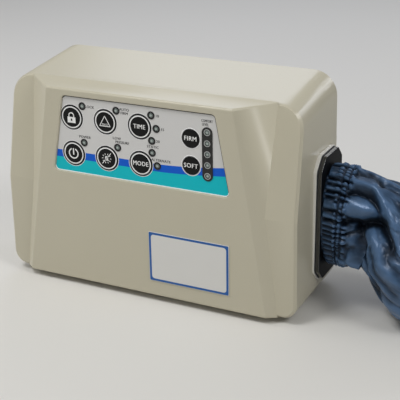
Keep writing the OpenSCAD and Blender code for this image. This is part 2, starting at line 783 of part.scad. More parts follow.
// Route of the sleeve: its middle at each ring from the cuff's end on, half its height, half its width, and its folds
sleeve_route = concat([[0, 0, cuff_end[2]], [10, 0, cuff_end[2] - 10 * tan(cuff_tilt)]],
    [[24, 0, 72], [39, 0, 64], [54, 1, 53], [70, 3, 44], [88, 6, 37], [108, 12, 33], [130, 21, 31], [152, 34, 31],
     [172, 50, 31], [190, 70, 31], [205, 93, 31], [216, 118, 31], [223, 146, 31], [226, 176, 31], [227, 208, 31],
     [227, 242, 31], [227, 276, 31], [227, 310, 31], [227, 344, 31], [227, 378, 31], [227, 410, 30], [227, 438, 27],
     [227, 460, 23], [227, 476, far_h / 2 - foot_h], [227, 488, far_h / 2 - foot_h]]);
sleeve_half_h = [45, 48, 53, 57, 55, 50, 44, 40, 38, 37, 37, 37, 37, 37, 37, 37, 37, 37, 37, 37, 37, 37, 36, 33, 29, 27, 26];
sleeve_half_w = [25, 30, 37, 42, 43, 42, 42, 42, 43, 44, 44, 44, 44, 44, 44, 44, 44, 44, 44, 44, 44, 44, 44, 44, 45, 46, 46];
sleeve_fold = [1, 3, 4, 5, 5, 4, 3, 3, 3, 2, 2, 3, 3, 2, 2, 3, 2, 2, 3, 2, 2, 3, 3, 3, 2, 2, 1];
sleeve_sides = 20;

function sleeve_section(k) = [for (i = [0:sleeve_sides - 1]) let (a = i * 360 / sleeve_sides,
    f = -sleeve_fold[k] * (0.5 + 0.5 * cos(5 * a + 40 * k)))
    [(sleeve_half_w[k] + f) * sin(a), (sleeve_half_h[k] + f) * cos(a)]];

function route_point(p) = [cuff_end[0] + p[0], cuff_end[1] + p[1], p[2]];
module hose_sleeve() {
    path = [for (p = sleeve_route) route_point(p)];
    color([0.15, 0.21, 0.35]) place() sweep(path, [for (k = [0:len(path) - 1]) sleeve_section(k)], [0, 0, 1]);
}

// The plug at the far end that snaps into the mattress
far_end = route_point(sleeve_route[len(sleeve_route) - 1]);
module mattress_connector() {
    color([0.09, 0.09, 0.10]) place() translate(far_end) difference() {
        union() {
            front_plate(softened(cut_outline(far_w, far_h, far_cut), far_cut / 2), 0, far_t);
            for (i = [0:nozzles - 1]) rod_y(nozzle_r, (i - (nozzles - 1) / 2) * nozzle_pitch, 0, far_t - eps, far_t + far_nozzle_l);
        }
        for (i = [0:nozzles - 1]) rod_y(nozzle_bore_r, (i - (nozzles - 1) / 2) * nozzle_pitch, 0, far_t / 2, far_t + far_nozzle_l + eps);
    }
}

// Hooks that hang the pump on the end of a bed
barrel_top = hook_top - lug_t - lug_gap;
module at_hook(side) {
    translate([side * hook_x, hook_y, 0]) children();
}
module hook(side) {
    reach = hook_gap - hook_t;
    color([0.78, 0.78, 0.80]) place() at_hook(side) difference() {
        union() {
            translate([0, 0, barrel_top - barrel_h]) cylinder(r = hook_barrel_r, h = barrel_h);
            block([-hook_t / 2, 0, barrel_top - hook_arm_h], [hook_t / 2, reach + 1, barrel_top]);
            block([-hook_t / 2, reach, barrel_top - hook_arm_h - hook_drop], [hook_t / 2, reach + hook_tip_t, barrel_top]);
        }
        translate([0, 0, barrel_top - barrel_h - 1]) cylinder(r = hook_pin_r + run_gap, h = barrel_h + 2);
    }
}
module left_hook() { hook(-1); }
module right_hook() { hook(1); }
module hook_pin(side) {
    color([0.62, 0.63, 0.65]) place() at_hook(side) translate([0, 0, barrel_top - barrel_h - lug_gap - lug_t]) cylinder(r = hook_pin_r, h = barrel_h + 2 * (lug_gap + lug_t));
}
module left_hook_pin() { hook_pin(-1); }
module right_hook_pin() { hook_pin(1); }
module hook_lugs() {
    for (side = [-1, 1], z = [barrel_top - barrel_h - lug_gap - lug_t, barrel_top + lug_gap]) {
        translate([side * hook_x, 0, 0]) block([-lug_w / 2, back_y, z], [lug_w / 2, hook_y, z + lug_t]);
        at_hook(side) translate([0, 0, z]) cylinder(r = lug_w / 2, h = lug_t);
    }
}
module hook_lug_holes() {
    for (side = [-1, 1]) at_hook(side) translate([0, 0, barrel_top - barrel_h - lug_gap - lug_t - 1]) cylinder(r = hook_pin_r, h = barrel_h + 2 * (lug_gap + lug_t) + 2);
}

// Feet
foot_peg_r = 3;
foot_peg_h = 2.4;
module at_foot(side, end) {
    translate([side * foot_x, end < 0 ? foot_in : case_d - foot_in, 0]) children();
}
module foot_holes() {
    for (side = [-1, 1], end = [-1, 1]) at_foot(side, end) translate([0, 0, -1]) cylinder(r = foot_peg_r + run_gap, h = 1 + foot_peg_h + fit_gap);
}
module foot(side, end) {
    color([0.20, 0.20, 0.21]) place() at_foot(side, end) {
        translate([0, 0, -foot_h]) cylinder(r1 = foot_r - 1, r2 = foot_r, h = foot_h);
        translate([0, 0, -eps]) cylinder(r = foot_peg_r, h = foot_peg_h);
    }
}
module front_left_foot() { foot(-1, -1); }
module front_right_foot() { foot(1, -1); }
module rear_left_foot() { foot(-1, 1); }
module rear_right_foot() { foot(1, 1); }

// Air filter in the back
module filter_tray() {
    w = filter_w / 2 - filter_rim;
    h = filter_h / 2 - filter_rim;
    translate([filter_x, 0, filter_z]) difference() {
        block([-w - 2, back_y - foam_t - tray_bar, -h - 2], [w + 2, back_y + eps, h + 2]);
        for (s = [-1, 0, 1]) block([s * w * 2 / 3 - w / 3 + 1.5, back_y - foam_t - 2 * tray_bar, -h + 3], [s * w * 2 / 3 + w / 3 - 1.5, back_y, h - 3]);
    }
}
module filter_foam() {
    w = filter_w / 2 - filter_rim - fit_gap;
    h = filter_h / 2 - filter_rim - fit_gap;
    color([0.28, 0.29, 0.30]) place() translate([filter_x, 0, filter_z]) block([-w, back_y - foam_t, -h], [w, back_y, h]);
}
module filter_cover() {
    w = filter_w / 2;
    h = filter_h / 2;
    color([0.72, 0.70, 0.64]) place() translate([filter_x, 0, filter_z]) difference() {
        union() {
            block([-w, case_d, -h], [w, case_d + filter_t, h]);
            for (s = [-1, 1]) block([s * (w - filter_rim - 2.5) - 1, case_d - wall + fit_gap, -h / 2], [s * (w - filter_rim - 2.5) + 1, case_d + eps, h / 2]);
        }
        for (i = [-3:3]) block([-w + 8, case_d - eps, i * 4.6 - 1.2], [w - 8, case_d + filter_t + eps, i * 4.6 + 1.2]);
    }
}

// Mains inlet with its three pins
module power_inlet() {
    f = inlet_flange;
    color([0.07, 0.07, 0.08]) place() translate([inlet_x, 0, inlet_z]) difference() {
        union() {
            block([-inlet_w / 2 - f, case_d, -inlet_h / 2 - f], [inlet_w / 2 + f, case_d + inlet_flange_t, inlet_h / 2 + f]);
            block([-inlet_w / 2, case_d + inlet_flange_t - inlet_l, -inlet_h / 2], [inlet_w / 2, case_d + eps, inlet_h / 2]);
        }
        block([-inlet_w / 2 + 2, case_d + inlet_flange_t - inlet_l + 3, -inlet_h / 2 + 2], [inlet_w / 2 - 2, case_d + inlet_flange_t + eps, inlet_h / 2 - 2]);
        for (p = pin_places) translate([p[0], 0, p[1]]) block([-2, case_d + inlet_flange_t - inlet_l - eps, -1], [2, case_d, 1]);
    }
}
pin_places = [[-7, -2], [0, 2], [7, -2]];
module inlet_pins() {
    color([0.75, 0.72, 0.55]) place() for (p = pin_places) translate([inlet_x + p[0], 0, inlet_z + p[1]])
        block([-2, case_d + inlet_flange_t - inlet_l - 5, -1], [2, case_d + inlet_flange_t - 6, 1]);
}

// Linear compressor on four rubber mounts
module compressor_mounts() {
    color([0.15, 0.15, 0.15]) place() for (sx = [-1, 1], sy = [-1, 1])
        translate([comp_x + sx * (frame_x - 4), comp_y + sy * (frame_w / 2 - 7), wall]) cylinder(r = 6, h = mount_h);
}
module compressor_frame() {
    color([0.70, 0.71, 0.73]) place() translate([comp_x, comp_y, 0]) difference() {
        union() {
            block([-frame_x - frame_t, -frame_w / 2, comp_base_z - comp_base_t], [frame_x + frame_t, frame_w / 2, comp_base_z]);
            for (s = [-1, 1]) block([s * (frame_x + frame_t / 2) - frame_t / 2, -frame_w / 2, comp_base_z - eps],
                                    [s * (frame_x + frame_t / 2) + frame_t / 2, frame_w / 2, shuttle_z + frame_w / 2]);
        }
        rod_x(hub_r + 1, 0, shuttle_z, -2 * frame_x, 2 * frame_x);
    }
}
module drive_cores() {
    y0 = shuttle_w / 2 + coil_gap + coil_t;
    color([0.36, 0.37, 0.40]) place() translate([comp_x, comp_y, 0]) for (s = [0, 1]) mirror([0, s, 0])
        block([-core_w / 2, y0, comp_base_z], [core_w / 2, min(y0 + core_t, frame_w / 2), shuttle_z + core_w / 2]);
}
module drive_coils() {
    y0 = shuttle_w / 2 + coil_gap;
    color([0.62, 0.33, 0.16]) place() translate([comp_x, comp_y, shuttle_z]) for (s = [0, 1]) mirror([0, s, 0])
        translate([0, y0 + coil_t, 0]) rotate([90, 0, 0]) linear_extrude(coil_t) difference() {
            square([core_w - 6, core_w - 8], center = true);
            square([core_w / 3, core_w / 3], center = true);
        }
}
module magnet_shuttle() {
    hub_l = 11;
    hub_x = frame_x + frame_t + diaphragm_t + 5 - hub_l;
    color([0.55, 0.56, 0.58]) place() translate([comp_x, comp_y, shuttle_z]) {
        block([-hub_x - eps, -shuttle_w / 2, -shuttle_h / 2], [hub_x + eps, shuttle_w / 2, shuttle_h / 2]);
        for (s = [-1, 1]) rod_x(hub_r, 0, 0, s > 0 ? hub_x : -hub_x - hub_l, s > 0 ? hub_x + hub_l : -hub_x);
    }
}
module diaphragm(side) {
    color([0.13, 0.13, 0.13]) place() translate([comp_x, comp_y, shuttle_z]) difference() {
        rod_x(diaphragm_r, 0, 0, side > 0 ? head_x - diaphragm_t : -head_x, side > 0 ? head_x : -head_x + diaphragm_t);
        rod_x(hub_r + fit_gap, 0, 0, -2 * head_x, 2 * head_x);
    }
}
module left_diaphragm() { diaphragm(-1); }
module right_diaphragm() { diaphragm(1); }
module pump_head(side) {
    nozzle_x = head_x + head_t / 2;
    color([0.60, 0.60, 0.58]) place() translate([comp_x, comp_y, shuttle_z]) mirror([side < 0 ? 1 : 0, 0, 0]) difference() {
        union() {
            block([head_x, -frame_w / 2, -frame_w / 2 + 4], [head_x + head_t, frame_w / 2, frame_w / 2]);
            translate([nozzle_x, 0, frame_w / 2 - eps]) cylinder(r = head_nozzle_r, h = head_nozzle_h);
        }
        rod_x(diaphragm_r - 3, 0, 0, head_x - eps, head_x + head_t - 5);
        translate([nozzle_x, 0, diaphragm_r / 2]) cylinder(r = head_nozzle_r - 1.5, h = frame_w);
    }
}
module left_pump_head() { pump_head(-1); }
module right_pump_head() { pump_head(1); }
module head_tubes() {
    z0 = shuttle_z + frame_w / 2 + head_nozzle_h;
    color([0.75, 0.76, 0.74]) place() for (s = [-1, 1]) translate([comp_x + s * (head_x + head_t / 2), comp_y, z0]) difference() {
        cylinder(r = head_nozzle_r + 1, h = head_tube_l);
        translate([0, 0, -1]) cylinder(r = head_nozzle_r - 1.5, h = head_tube_l + 2);
    }
}

// Air chamber that quietens the compressor; flats under it meet the tubes
module silencer() {
    color([0.20, 0.20, 0.21]) place() translate([comp_x, comp_y, silencer_z]) {
        rod_x(silencer_r, 0, 0, -silencer_l / 2, silencer_l / 2);
        for (s = [-1, 1]) translate([s * (head_x + head_t / 2), 0, -silencer_r]) cylinder(r = head_nozzle_r + 1, h = silencer_r);
        rod_x(head_nozzle_r, 0, 0, silencer_l / 2 - eps, silencer_l / 2 + 8);
    }
}
feed_start = [comp_x + silencer_l / 2 + 8, comp_y, silencer_z];
feed_end = [valve_x + valve_t / 2, valve_y, valve_z + valve_r + 6];
feed_bend = 11;
feed_steps = 6;
function ease(s) = (1 - cos(180 * s)) / 2;
module feed_tube() {
    corner = feed_end + [-feed_bend, 0, nozzle_r];
    rise = [feed_start + [nozzle_r, 0, 0], corner + [-2 * feed_bend, 0, feed_bend]];
    path = concat([feed_start],
        [for (k = [0:feed_steps]) let (s = k / feed_steps, d = rise[1] - rise[0]) rise[0] + [d[0] * s, d[1] * ease(s), d[2] * ease(s)]],
        [for (a = [90:-30:0]) corner + feed_bend * [cos(a), 0, sin(a)]], [feed_end]);
    color([0.78, 0.79, 0.77]) place() round_sweep(path, head_nozzle_r + 1, 10, [0, 1, 0]);
}

// Rotary valve that shares the air between the lines
module valve_bracket() {
    x0 = valve_x - 16;
    color([0.70, 0.71, 0.73]) place() translate([0, valve_y, 0]) {
        block([x0, -16, wall], [valve_x, 16, wall + 3]);
        block([valve_x - 3, -16, wall + 3 - eps], [valve_x, 16, valve_z - valve_motor_r - 4]);
        difference() {
            block([valve_x - 3, -valve_r, valve_z - valve_motor_r - 4 - eps], [valve_x, valve_r, valve_z + valve_r]);
            rod_x(valve_shaft_r + 1.5, 0, valve_z, 0, 2 * valve_x);
        }
    }
}
module valve_motor() {
    color([0.66, 0.67, 0.69]) place() difference() {
        rod_x(valve_motor_r, valve_y, valve_z, valve_x - 3 - valve_motor_l, valve_x - 3);
        rod_x(valve_shaft_r + run_gap, valve_y, valve_z, valve_x - 3 - valve_motor_l + 4, valve_x);
    }
}
rotor_x = valve_x + valve_wall + rotor_gap;
module valve_rotor() {
    color([0.85, 0.83, 0.76]) place() difference() {
        union() {
            rod_x(valve_shaft_r, valve_y, valve_z, valve_x - 3 - valve_motor_l + 4 + fit_gap, rotor_x + eps);
            rod_x(valve_r - valve_wall - rotor_gap, valve_y, valve_z, rotor_x, rotor_x + rotor_t);
        }
        for (a = [0, 180]) translate([0, valve_y, valve_z]) rotate([a, 0, 0]) rod_x(4, port_circle_r, 0, rotor_x - 1, rotor_x + rotor_t + 1);
    }
}
function port_angle(i) = 45 + i * 90;
module valve_body() {
    cavity_l = rotor_t + 2 * rotor_gap;
    color([0.18, 0.18, 0.19]) place() difference() {
        union() {
            rod_x(valve_r, valve_y, valve_z, valve_x, valve_end);
            for (i = [0:nozzles - 1]) translate([0, valve_y, valve_z]) rotate([port_angle(i), 0, 0]) rod_x(tube_r - 1, port_circle_r, 0, valve_end - eps, tube_start);
            translate([valve_x + valve_t / 2, valve_y, valve_z]) cylinder(r = head_nozzle_r, h = valve_r + 6);
        }
        rod_x(valve_r - valve_wall, valve_y, valve_z, valve_x + valve_wall, valve_x + valve_wall + cavity_l);
        rod_x(valve_shaft_r + 1, valve_y, valve_z, valve_x - 1, valve_x + valve_wall + eps);
        for (i = [0:nozzles - 1]) translate([0, valve_y, valve_z]) rotate([port_angle(i), 0, 0]) rod_x(tube_r - 2.5, port_circle_r, 0, valve_x + valve_wall + 1, tube_start + eps);
    }
}

// Soft tubes from the valve's ports to the manifold, each an easy S
tube_steps = 8;
tube_stub = 3;
port_order = [3, 2, 0, 1];
module outlet_tubes() {
    color([0.80, 0.81, 0.79]) place() for (i = [0:nozzles - 1]) {
        a = port_angle(port_order[i]);
        start = [tube_start, valve_y + port_circle_r * cos(a), valve_z + port_circle_r * sin(a)];
        finish = [tube_end, port_y, nozzle_z[i]];
        bend = [start + [tube_stub, 0, 0], finish - [tube_stub, 0, 0]];
        path = concat([start], [for (k = [0:tube_steps]) let (s = k / tube_steps, d = bend[1] - bend[0])
            bend[0] + [d[0] * s, d[1] * ease(s), d[2] * ease(s)]], [finish]);
        round_sweep(path, tube_r - 0.5, 10, [0, 1, 0]);
    }
}

// Mains transformer on the floor of the rear shell
module transformer_core() {
    color([0.33, 0.34, 0.37]) place() translate([trafo_x, back_y - trafo_back - trafo_d, wall]) difference() {
        block([0, 10, 0], [trafo_w, trafo_d - 10, trafo_h]);
        for (s = [0, 1]) block([8 + s * (trafo_w / 2 - 3), 0, 8], [trafo_w / 2 - 5 + s * (trafo_w / 2 - 3), trafo_d, trafo_h - 8]);
    }
}
module transformer_winding() {
    color([0.66, 0.36, 0.14]) place() translate([trafo_x, back_y - trafo_back - trafo_d, wall]) difference() {
        block([8.4, 0, 8.4], [trafo_w - 8.4, trafo_d, trafo_h - 8.4]);
        block([trafo_w / 2 - 5 - fit_gap, 10 - fit_gap, 0], [trafo_w / 2 + 5 + fit_gap, trafo_d - 10 + fit_gap, trafo_h]);
    }
}

// Main board on four posts on the back wall
module at_main_posts() {
    for (sx = [-1, 1], sz = [-1, 1]) translate([main_board_x + main_board_w / 2 + sx * (main_board_w / 2 - 5), 0, main_board_z + sz * (main_board_h / 2 - 5)]) children();
}
module main_board_posts() {
    at_main_posts() rod_y(board_post_r, 0, 0, main_board_y + board_t, back_y + eps);
}
module main_board() {
    color([0.12, 0.36, 0.20]) place() block([main_board_x, main_board_y, main_board_z - main_board_h / 2],
        [main_board_x + main_board_w, main_board_y + board_t, main_board_z + main_board_h / 2]);
}
module board_parts() {
    part_x = main_board_x + main_board_w / 2;
    color([0.24, 0.25, 0.28]) place() {
        for (i = [0:1]) rod_y(7, part_x - 28 + i * 17, main_board_z + 18, main_board_y - 20, main_board_y);
        block([part_x - 36, main_board_y - 14, main_board_z - 30], [part_x - 18, main_board_y, main_board_z - 16]);
        block([part_x - 12, main_board_y - 12, main_board_z - 32], [part_x + 10, main_board_y, main_board_z - 4]);
        block([part_x + 20, main_board_y - 3, main_board_z - 6], [part_x + 34, main_board_y, main_board_z + 8]);
        rod_y(4, part_x + 28, main_board_z - 22, main_board_y - 8, main_board_y);
    }
}

// Screws through the rear shell into the front shell
module case_screws() {
    head_y = case_d - screw_sink;
    color([0.72, 0.72, 0.74]) place() at_bosses() {
        rod_y(screw_r - run_gap, 0, 0, head_y - screw_l, head_y + eps);
        difference() {
            rod_y(screw_head_r, 0, 0, head_y, head_y + 2.6);
            for (a = [0, 90]) translate([0, head_y + 1, 0]) rotate([0, a, 0]) block([-2.4, 0, -0.5], [2.4, 3, 0.5]);
        }
    }
}

front_case();
rear_case();
keypad_overlay();
key_lock();
key_firm_hold();
key_timer();
key_power();
key_mute();
key_mode();
key_firmer();
key_softer();
lamp_bezels();
lamp_lenses();
level_bar();
level_lamps();
name_plate();
control_board();
key_switches();
ribbon_cable();
outlet_surround();
outlet_manifold();
hose_connector();
sleeve_cuff();
hose_sleeve();
mattress_connector();
left_hook();
right_hook();
left_hook_pin();
right_hook_pin();
front_left_foot();
front_right_foot();
rear_left_foot();
rear_right_foot();
filter_cover();
filter_foam();
power_inlet();
inlet_pins();
compressor_mounts();
compressor_frame();
drive_cores();
drive_coils();
magnet_shuttle();
left_diaphragm();
right_diaphragm();
left_pump_head();
right_pump_head();
head_tubes();
silencer();
feed_tube();
valve_bracket();
valve_motor();
valve_rotor();
valve_body();
outlet_tubes();
transformer_core();
transformer_winding();
main_board();
board_parts();
case_screws();
board_screws();
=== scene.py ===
"""Air mattress pump with a ringed keypad and a gathered hose sleeve, dressed over its CAD model."""
import json
import math

import bpy
import numpy as np
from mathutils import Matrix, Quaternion, Vector, geometry, noise

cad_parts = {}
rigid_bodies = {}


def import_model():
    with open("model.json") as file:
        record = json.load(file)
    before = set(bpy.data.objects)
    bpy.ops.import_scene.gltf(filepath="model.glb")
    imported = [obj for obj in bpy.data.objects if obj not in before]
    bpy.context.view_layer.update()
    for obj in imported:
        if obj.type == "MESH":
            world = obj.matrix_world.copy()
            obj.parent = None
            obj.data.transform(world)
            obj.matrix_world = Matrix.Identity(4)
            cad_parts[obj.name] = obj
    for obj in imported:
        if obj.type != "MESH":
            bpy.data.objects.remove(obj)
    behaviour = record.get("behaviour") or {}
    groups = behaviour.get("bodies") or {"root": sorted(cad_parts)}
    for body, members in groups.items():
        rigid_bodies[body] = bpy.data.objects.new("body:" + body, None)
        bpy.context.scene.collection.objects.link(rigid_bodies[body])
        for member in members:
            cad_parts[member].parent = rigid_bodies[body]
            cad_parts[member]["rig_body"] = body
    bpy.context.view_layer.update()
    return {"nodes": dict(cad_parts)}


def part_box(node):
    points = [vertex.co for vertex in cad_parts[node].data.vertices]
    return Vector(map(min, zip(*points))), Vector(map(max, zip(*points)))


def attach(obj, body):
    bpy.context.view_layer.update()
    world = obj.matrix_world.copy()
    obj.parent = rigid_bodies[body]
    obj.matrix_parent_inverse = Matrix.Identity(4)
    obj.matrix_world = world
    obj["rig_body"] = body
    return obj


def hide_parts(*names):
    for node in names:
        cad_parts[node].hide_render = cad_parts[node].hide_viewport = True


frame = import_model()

bl_info = {
    "name": "Air Mattress Pump",
    "version": (1, 0, 0),
    "blender": (4, 2, 0),
    "location": "View3D > Sidebar > Pump",
    "description": "Builds the looks of an air mattress pump, its keypad and its hose sleeve",
    "category": "Object",
}

# The case is drawn in millimetres from the middle of its front, and stands here in the frame
CASE_SHIFT = Vector((-6.25, -86.35, 6.0))


def at(x, y, z):
    """A point of the case, in millimetres, as a point of the frame in metres."""
    return (Vector((x, y, z)) + CASE_SHIFT) * 0.001


def colour(text):
    """A written sRGB colour as linear red, green, blue and alpha."""
    parts = [int(text[i:i + 2], 16) / 255 for i in (1, 3, 5)]
    return [c / 12.92 if c <= 0.04045 else ((c + 0.055) / 1.055) ** 2.4 for c in parts] + [1.0]


KEY_NODES = ("key_lock", "key_firm_hold", "key_timer", "key_power", "key_mute", "key_mode")
LEVEL_NODES = ("key_firmer", "key_softer")
PANEL_FRONT = at(0, 2.0, 0).y
# Prints stand this far before the film, and their ink is this thick
PRINT_LIFT = 0.00003
PRINT_THICK = 0.00004
# Height of the words on the film
SMALL_WORD = 0.0025
# Chamfer round the keypad's pocket
POCKET_CHAMFER = 0.0018
# Printed film, in millimetres: how high above the case's bottom the blue band and the teal field end, and how
# far right of the middle both begin to rise
BAND_TOP = 137.5
FIELD_TOP = 130.1
BEND_START = 20.0
# Prints round the keys, in millimetres: radii at which they begin, the outer one round the firmness keys, and
# the light line's width round the others
KEY_WELL = 11.72
LEVEL_WELL = 9.12
LEVEL_HALO = 10.1
HALO = 0.6
# How far apart a bold word is drawn twice, to either side: on the film and on the keys
FILM_BOLD = 0.0001
KEY_BOLD = 0.00009
# Thickness of the prints on the keys and of the plate's printed cards
KEY_PRINT_THICK = 0.00012
CARD_THICK = 0.00006
# Radii of a lamp lens's bright core, the white line of painted highlight along the film's lower edge, the dark
# line of painted shadow along its other edges and the outlet's gasket
LAMP_CORE = 0.00105
PAINTED_HIGHLIGHT_LINE = 0.00045
PAINTED_SHADOW_LINE = 0.0004
GASKET = 0.0008

COLOUR = {"size": 4, "subtype": "COLOR", "min": 0, "max": 1}


class PumpSizes(bpy.types.PropertyGroup):
    """Sizes of the visible details."""
    moulding_edge: bpy.props.FloatProperty(
        name="Moulding edge", description="Soft edge on the big mouldings", default=0.0022, unit="LENGTH")
    key_ring: bpy.props.FloatProperty(
        name="Key ring", description="Outer radius of a key's white ring", default=0.0108, unit="LENGTH")
    key_disc: bpy.props.FloatProperty(
        name="Key disc", description="Radius of a key's black disc", default=0.0096, unit="LENGTH")
    rim_print: bpy.props.FloatProperty(
        name="Printed rim", description="Outer radius of the black rim printed round a key", default=0.0125,
        unit="LENGTH")
    lamp_step: bpy.props.FloatProperty(
        name="Lamp step", description="Lamp's distance from its key, sideways and upwards", default=0.0123,
        unit="LENGTH")
    lamp_side_step: bpy.props.FloatProperty(
        name="Side lamp step", description="Distance of a lamp beside its key", default=0.0174, unit="LENGTH")
    word_height: bpy.props.FloatProperty(
        name="Word height", description="Height of the words on the keys", default=0.0043, unit="LENGTH")


class PumpColours(bpy.types.PropertyGroup):
    """Colours that a user would change."""
    case: bpy.props.FloatVectorProperty(
        name="Case", description="Putty beige of the moulded case", default=colour("#C3BDA8"), **COLOUR)
    film: bpy.props.FloatVectorProperty(
        name="Keypad", description="Light grey of the keypad film", default=colour("#D8D7D5"), **COLOUR)
    band: bpy.props.FloatVectorProperty(
        name="Blue band", description="Blue band across the keypad", default=colour("#0A5DD0"), **COLOUR)
    field: bpy.props.FloatVectorProperty(
        name="Teal field", description="Teal field along the keypad's bottom", default=colour("#06BFCB"),
        **COLOUR)
    sleeve: bpy.props.FloatVectorProperty(
        name="Sleeve", description="Navy of the coated sleeve cloth", default=colour("#223850"), **COLOUR)


def sizes():
    return bpy.context.scene.pump_sizes


def colours():
    return bpy.context.scene.pump_colours


def add_node(tree, kind, values=None, links=None, onward=None, **fields):
    """Adds a shader node, sets its fields and input values, links its inputs to other nodes' outputs, and its
    outputs onward to the named inputs of the material's shader."""
    node = tree.nodes.new("ShaderNode" + kind)
    for name, value in fields.items():
        setattr(node, name, value)
    for name, value in (values or {}).items():
        node.inputs[name].default_value = value
    for name, source in (links or {}).items():
        tree.links.new(source, node.inputs[name])
    for name, target in (onward or {}).items():
        tree.links.new(node.outputs[name], tree.nodes["Principled BSDF"].inputs[target])
    return node


def new_material(name, rough, metallic=0.0, coat=0.0, ior=1.5, uv_map="", more=None):
    """A material with one shader, whose constants are set on the shader itself, its nodes, and the place its
    patterns read: object coordinates or a UV map."""
    material = bpy.data.materials.get(name)
    if material:
        bpy.data.materials.remove(material)
    material = bpy.data.materials.new(name)
    material.use_nodes = True
    tree = material.node_tree
    tree.nodes.clear()
    shader = add_node(tree, "BsdfPrincipled", {
        "Roughness": rough, "Metallic": metallic, "Coat Weight": coat, "IOR": ior, **(more or {})})
    add_node(tree, "OutputMaterial", {}, {"Surface": shader.outputs["BSDF"]})
    if uv_map:
        place = add_node(tree, "UVMap", uv_map=uv_map).outputs[0]
    else:
        place = add_node(tree, "TexCoord").outputs["Object"]
    return material, tree, place


def shaded(tone, factor, lift=0.0):
    """A linear colour made darker or lighter."""
    return [min(1.0, c * factor + lift) for c in tone[:3]] + [1.0]


def grained(name, tone, rough, grain_mm, bump_mm, patch_mm, spread, metallic=0.0, coat=0.0, ior=1.5):
    """A moulded, cast or painted finish: slow patches of tone, and a fine grain in height and gloss."""
    material, tree, place = new_material(name, rough, metallic, coat, ior)
    tone = colour(tone) if isinstance(tone, str) else tone
    patches = add_node(tree, "TexNoise", {"Scale": 1000 / patch_mm, "Detail": 3.0}, {"Vector": place})
    grain = add_node(tree, "TexNoise", {"Scale": 1000 / grain_mm, "Detail": 2.0}, {"Vector": place})
    add_node(tree, "Mix", {6: shaded(tone, 1 - spread), 7: shaded(tone, 1 + spread)},
             {0: patches.outputs[0]}, {2: "Base Color"}, data_type="RGBA")
    add_node(tree, "MapRange", {"To Min": rough - 0.06, "To Max": rough + 0.06},
             {"Value": grain.outputs[0]}, {0: "Roughness"})
    add_node(tree, "Bump", {"Strength": 0.6, "Distance": bump_mm / 1000},
             {"Height": grain.outputs[0]}, {0: "Normal"})
    return material


def ink(name, tone):
    """Screen ink: an even satin coat with a slight mottle."""
    return grained(name, tone, 0.4, 0.7, 0.005, 8.0, 0.03)


def wave_scale(pitch_mm):
    """Scale at which a wave texture repeats after that many millimetres."""
    return math.tau / (0.02 * pitch_mm)


def patterned(name, kind, values, output, tones, relief, rough, metallic=0.0, coat=0.0, **fields):
    """A finish with one pattern for its tone, between two tones, and for its relief, given as strength and
    depth in millimetres."""
    material, tree, place = new_material(name, rough, metallic, coat)
    pattern = add_node(tree, kind, values, {"Vector": place}, **fields).outputs[output]
    add_node(tree, "Mix", {6: tones[0], 7: tones[1]}, {0: pattern}, {2: "Base Color"}, data_type="RGBA")
    add_node(tree, "Bump", {"Strength": relief[0], "Distance": relief[1] / 1000}, {"Height": pattern},
             {0: "Normal"})
    return material


def banded(name, pitch_mm, waver, along, *finish):
    """Wires or sheets side by side along one axis."""
    return patterned(name, "TexWave", {"Scale": wave_scale(pitch_mm), "Distortion": waver}, 1, *finish,
                     bands_direction=along)


def finished(piece, slot, *materials, node=None, body="housing"):
    """Gives a piece its materials and the body that it rides on: that of the CAD node that it replaces, if
    any. The slot is not used."""
    painted = [face.material_index for face in piece.data.polygons]
    piece.data.materials.clear()
    for material in materials:
        piece.data.materials.append(material)
    piece.data.polygons.foreach_set("material_index", painted)
    if node:
        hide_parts(node)
        body = body_of_node(node)
    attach(piece, body)
    return piece


def node_finish(nodes, material):
    """Gives a material to CAD nodes that stay in view; their names have spaces between."""
    for node in nodes.split():
        data = frame["nodes"][node].data
        data.materials.clear()
        data.materials.append(material)


def body_of_node(node):
    return frame["nodes"][node]["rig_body"]


def nothing_selected():
    if bpy.context.mode != "OBJECT":
        bpy.ops.object.mode_set(mode="OBJECT")
    bpy.ops.object.select_all(action="DESELECT")


def pick(piece):
    nothing_selected()
    piece.select_set(True)
    bpy.context.view_layer.objects.active = piece


def edit_mode(select="SELECT"):
    """Goes into edit mode with all of the mesh selected, or with none of it."""
    bpy.ops.object.mode_set(mode="EDIT")
    bpy.ops.mesh.select_all(action=select)


def named(name):
    """The active object, with this name on it and on its data."""
    piece = bpy.context.object
    piece.name = name
    piece.data.name = name
    return piece


def mended(piece, gap=0.0):
    """Merges points closer than the gap, if one is given, and turns the faces outwards."""
    pick(piece)
    edit_mode()
    if gap:
        bpy.ops.mesh.remove_doubles(threshold=gap)
    bpy.ops.mesh.normals_make_consistent(inside=False)
    bpy.ops.object.mode_set(mode="OBJECT")


def apply_all(piece):
    """Applies a piece's modifiers in their order."""
    pick(piece)
    for modifier in list(piece.modifiers):
        bpy.ops.object.modifier_apply(modifier=modifier.name)


def settled():
    """Moves the active object's place, turn and scale into its mesh."""
    bpy.ops.object.transform_apply(location=True, rotation=True, scale=True)


def smooth(piece, degrees):
    pick(piece)
    bpy.ops.object.shade_smooth_by_angle(angle=math.radians(degrees))


# Edges flatter than the first vanish, and edges sharper than the second are rounded
FLAT_ANGLE = math.radians(0.6)
SHARP_ANGLE = math.radians(32)


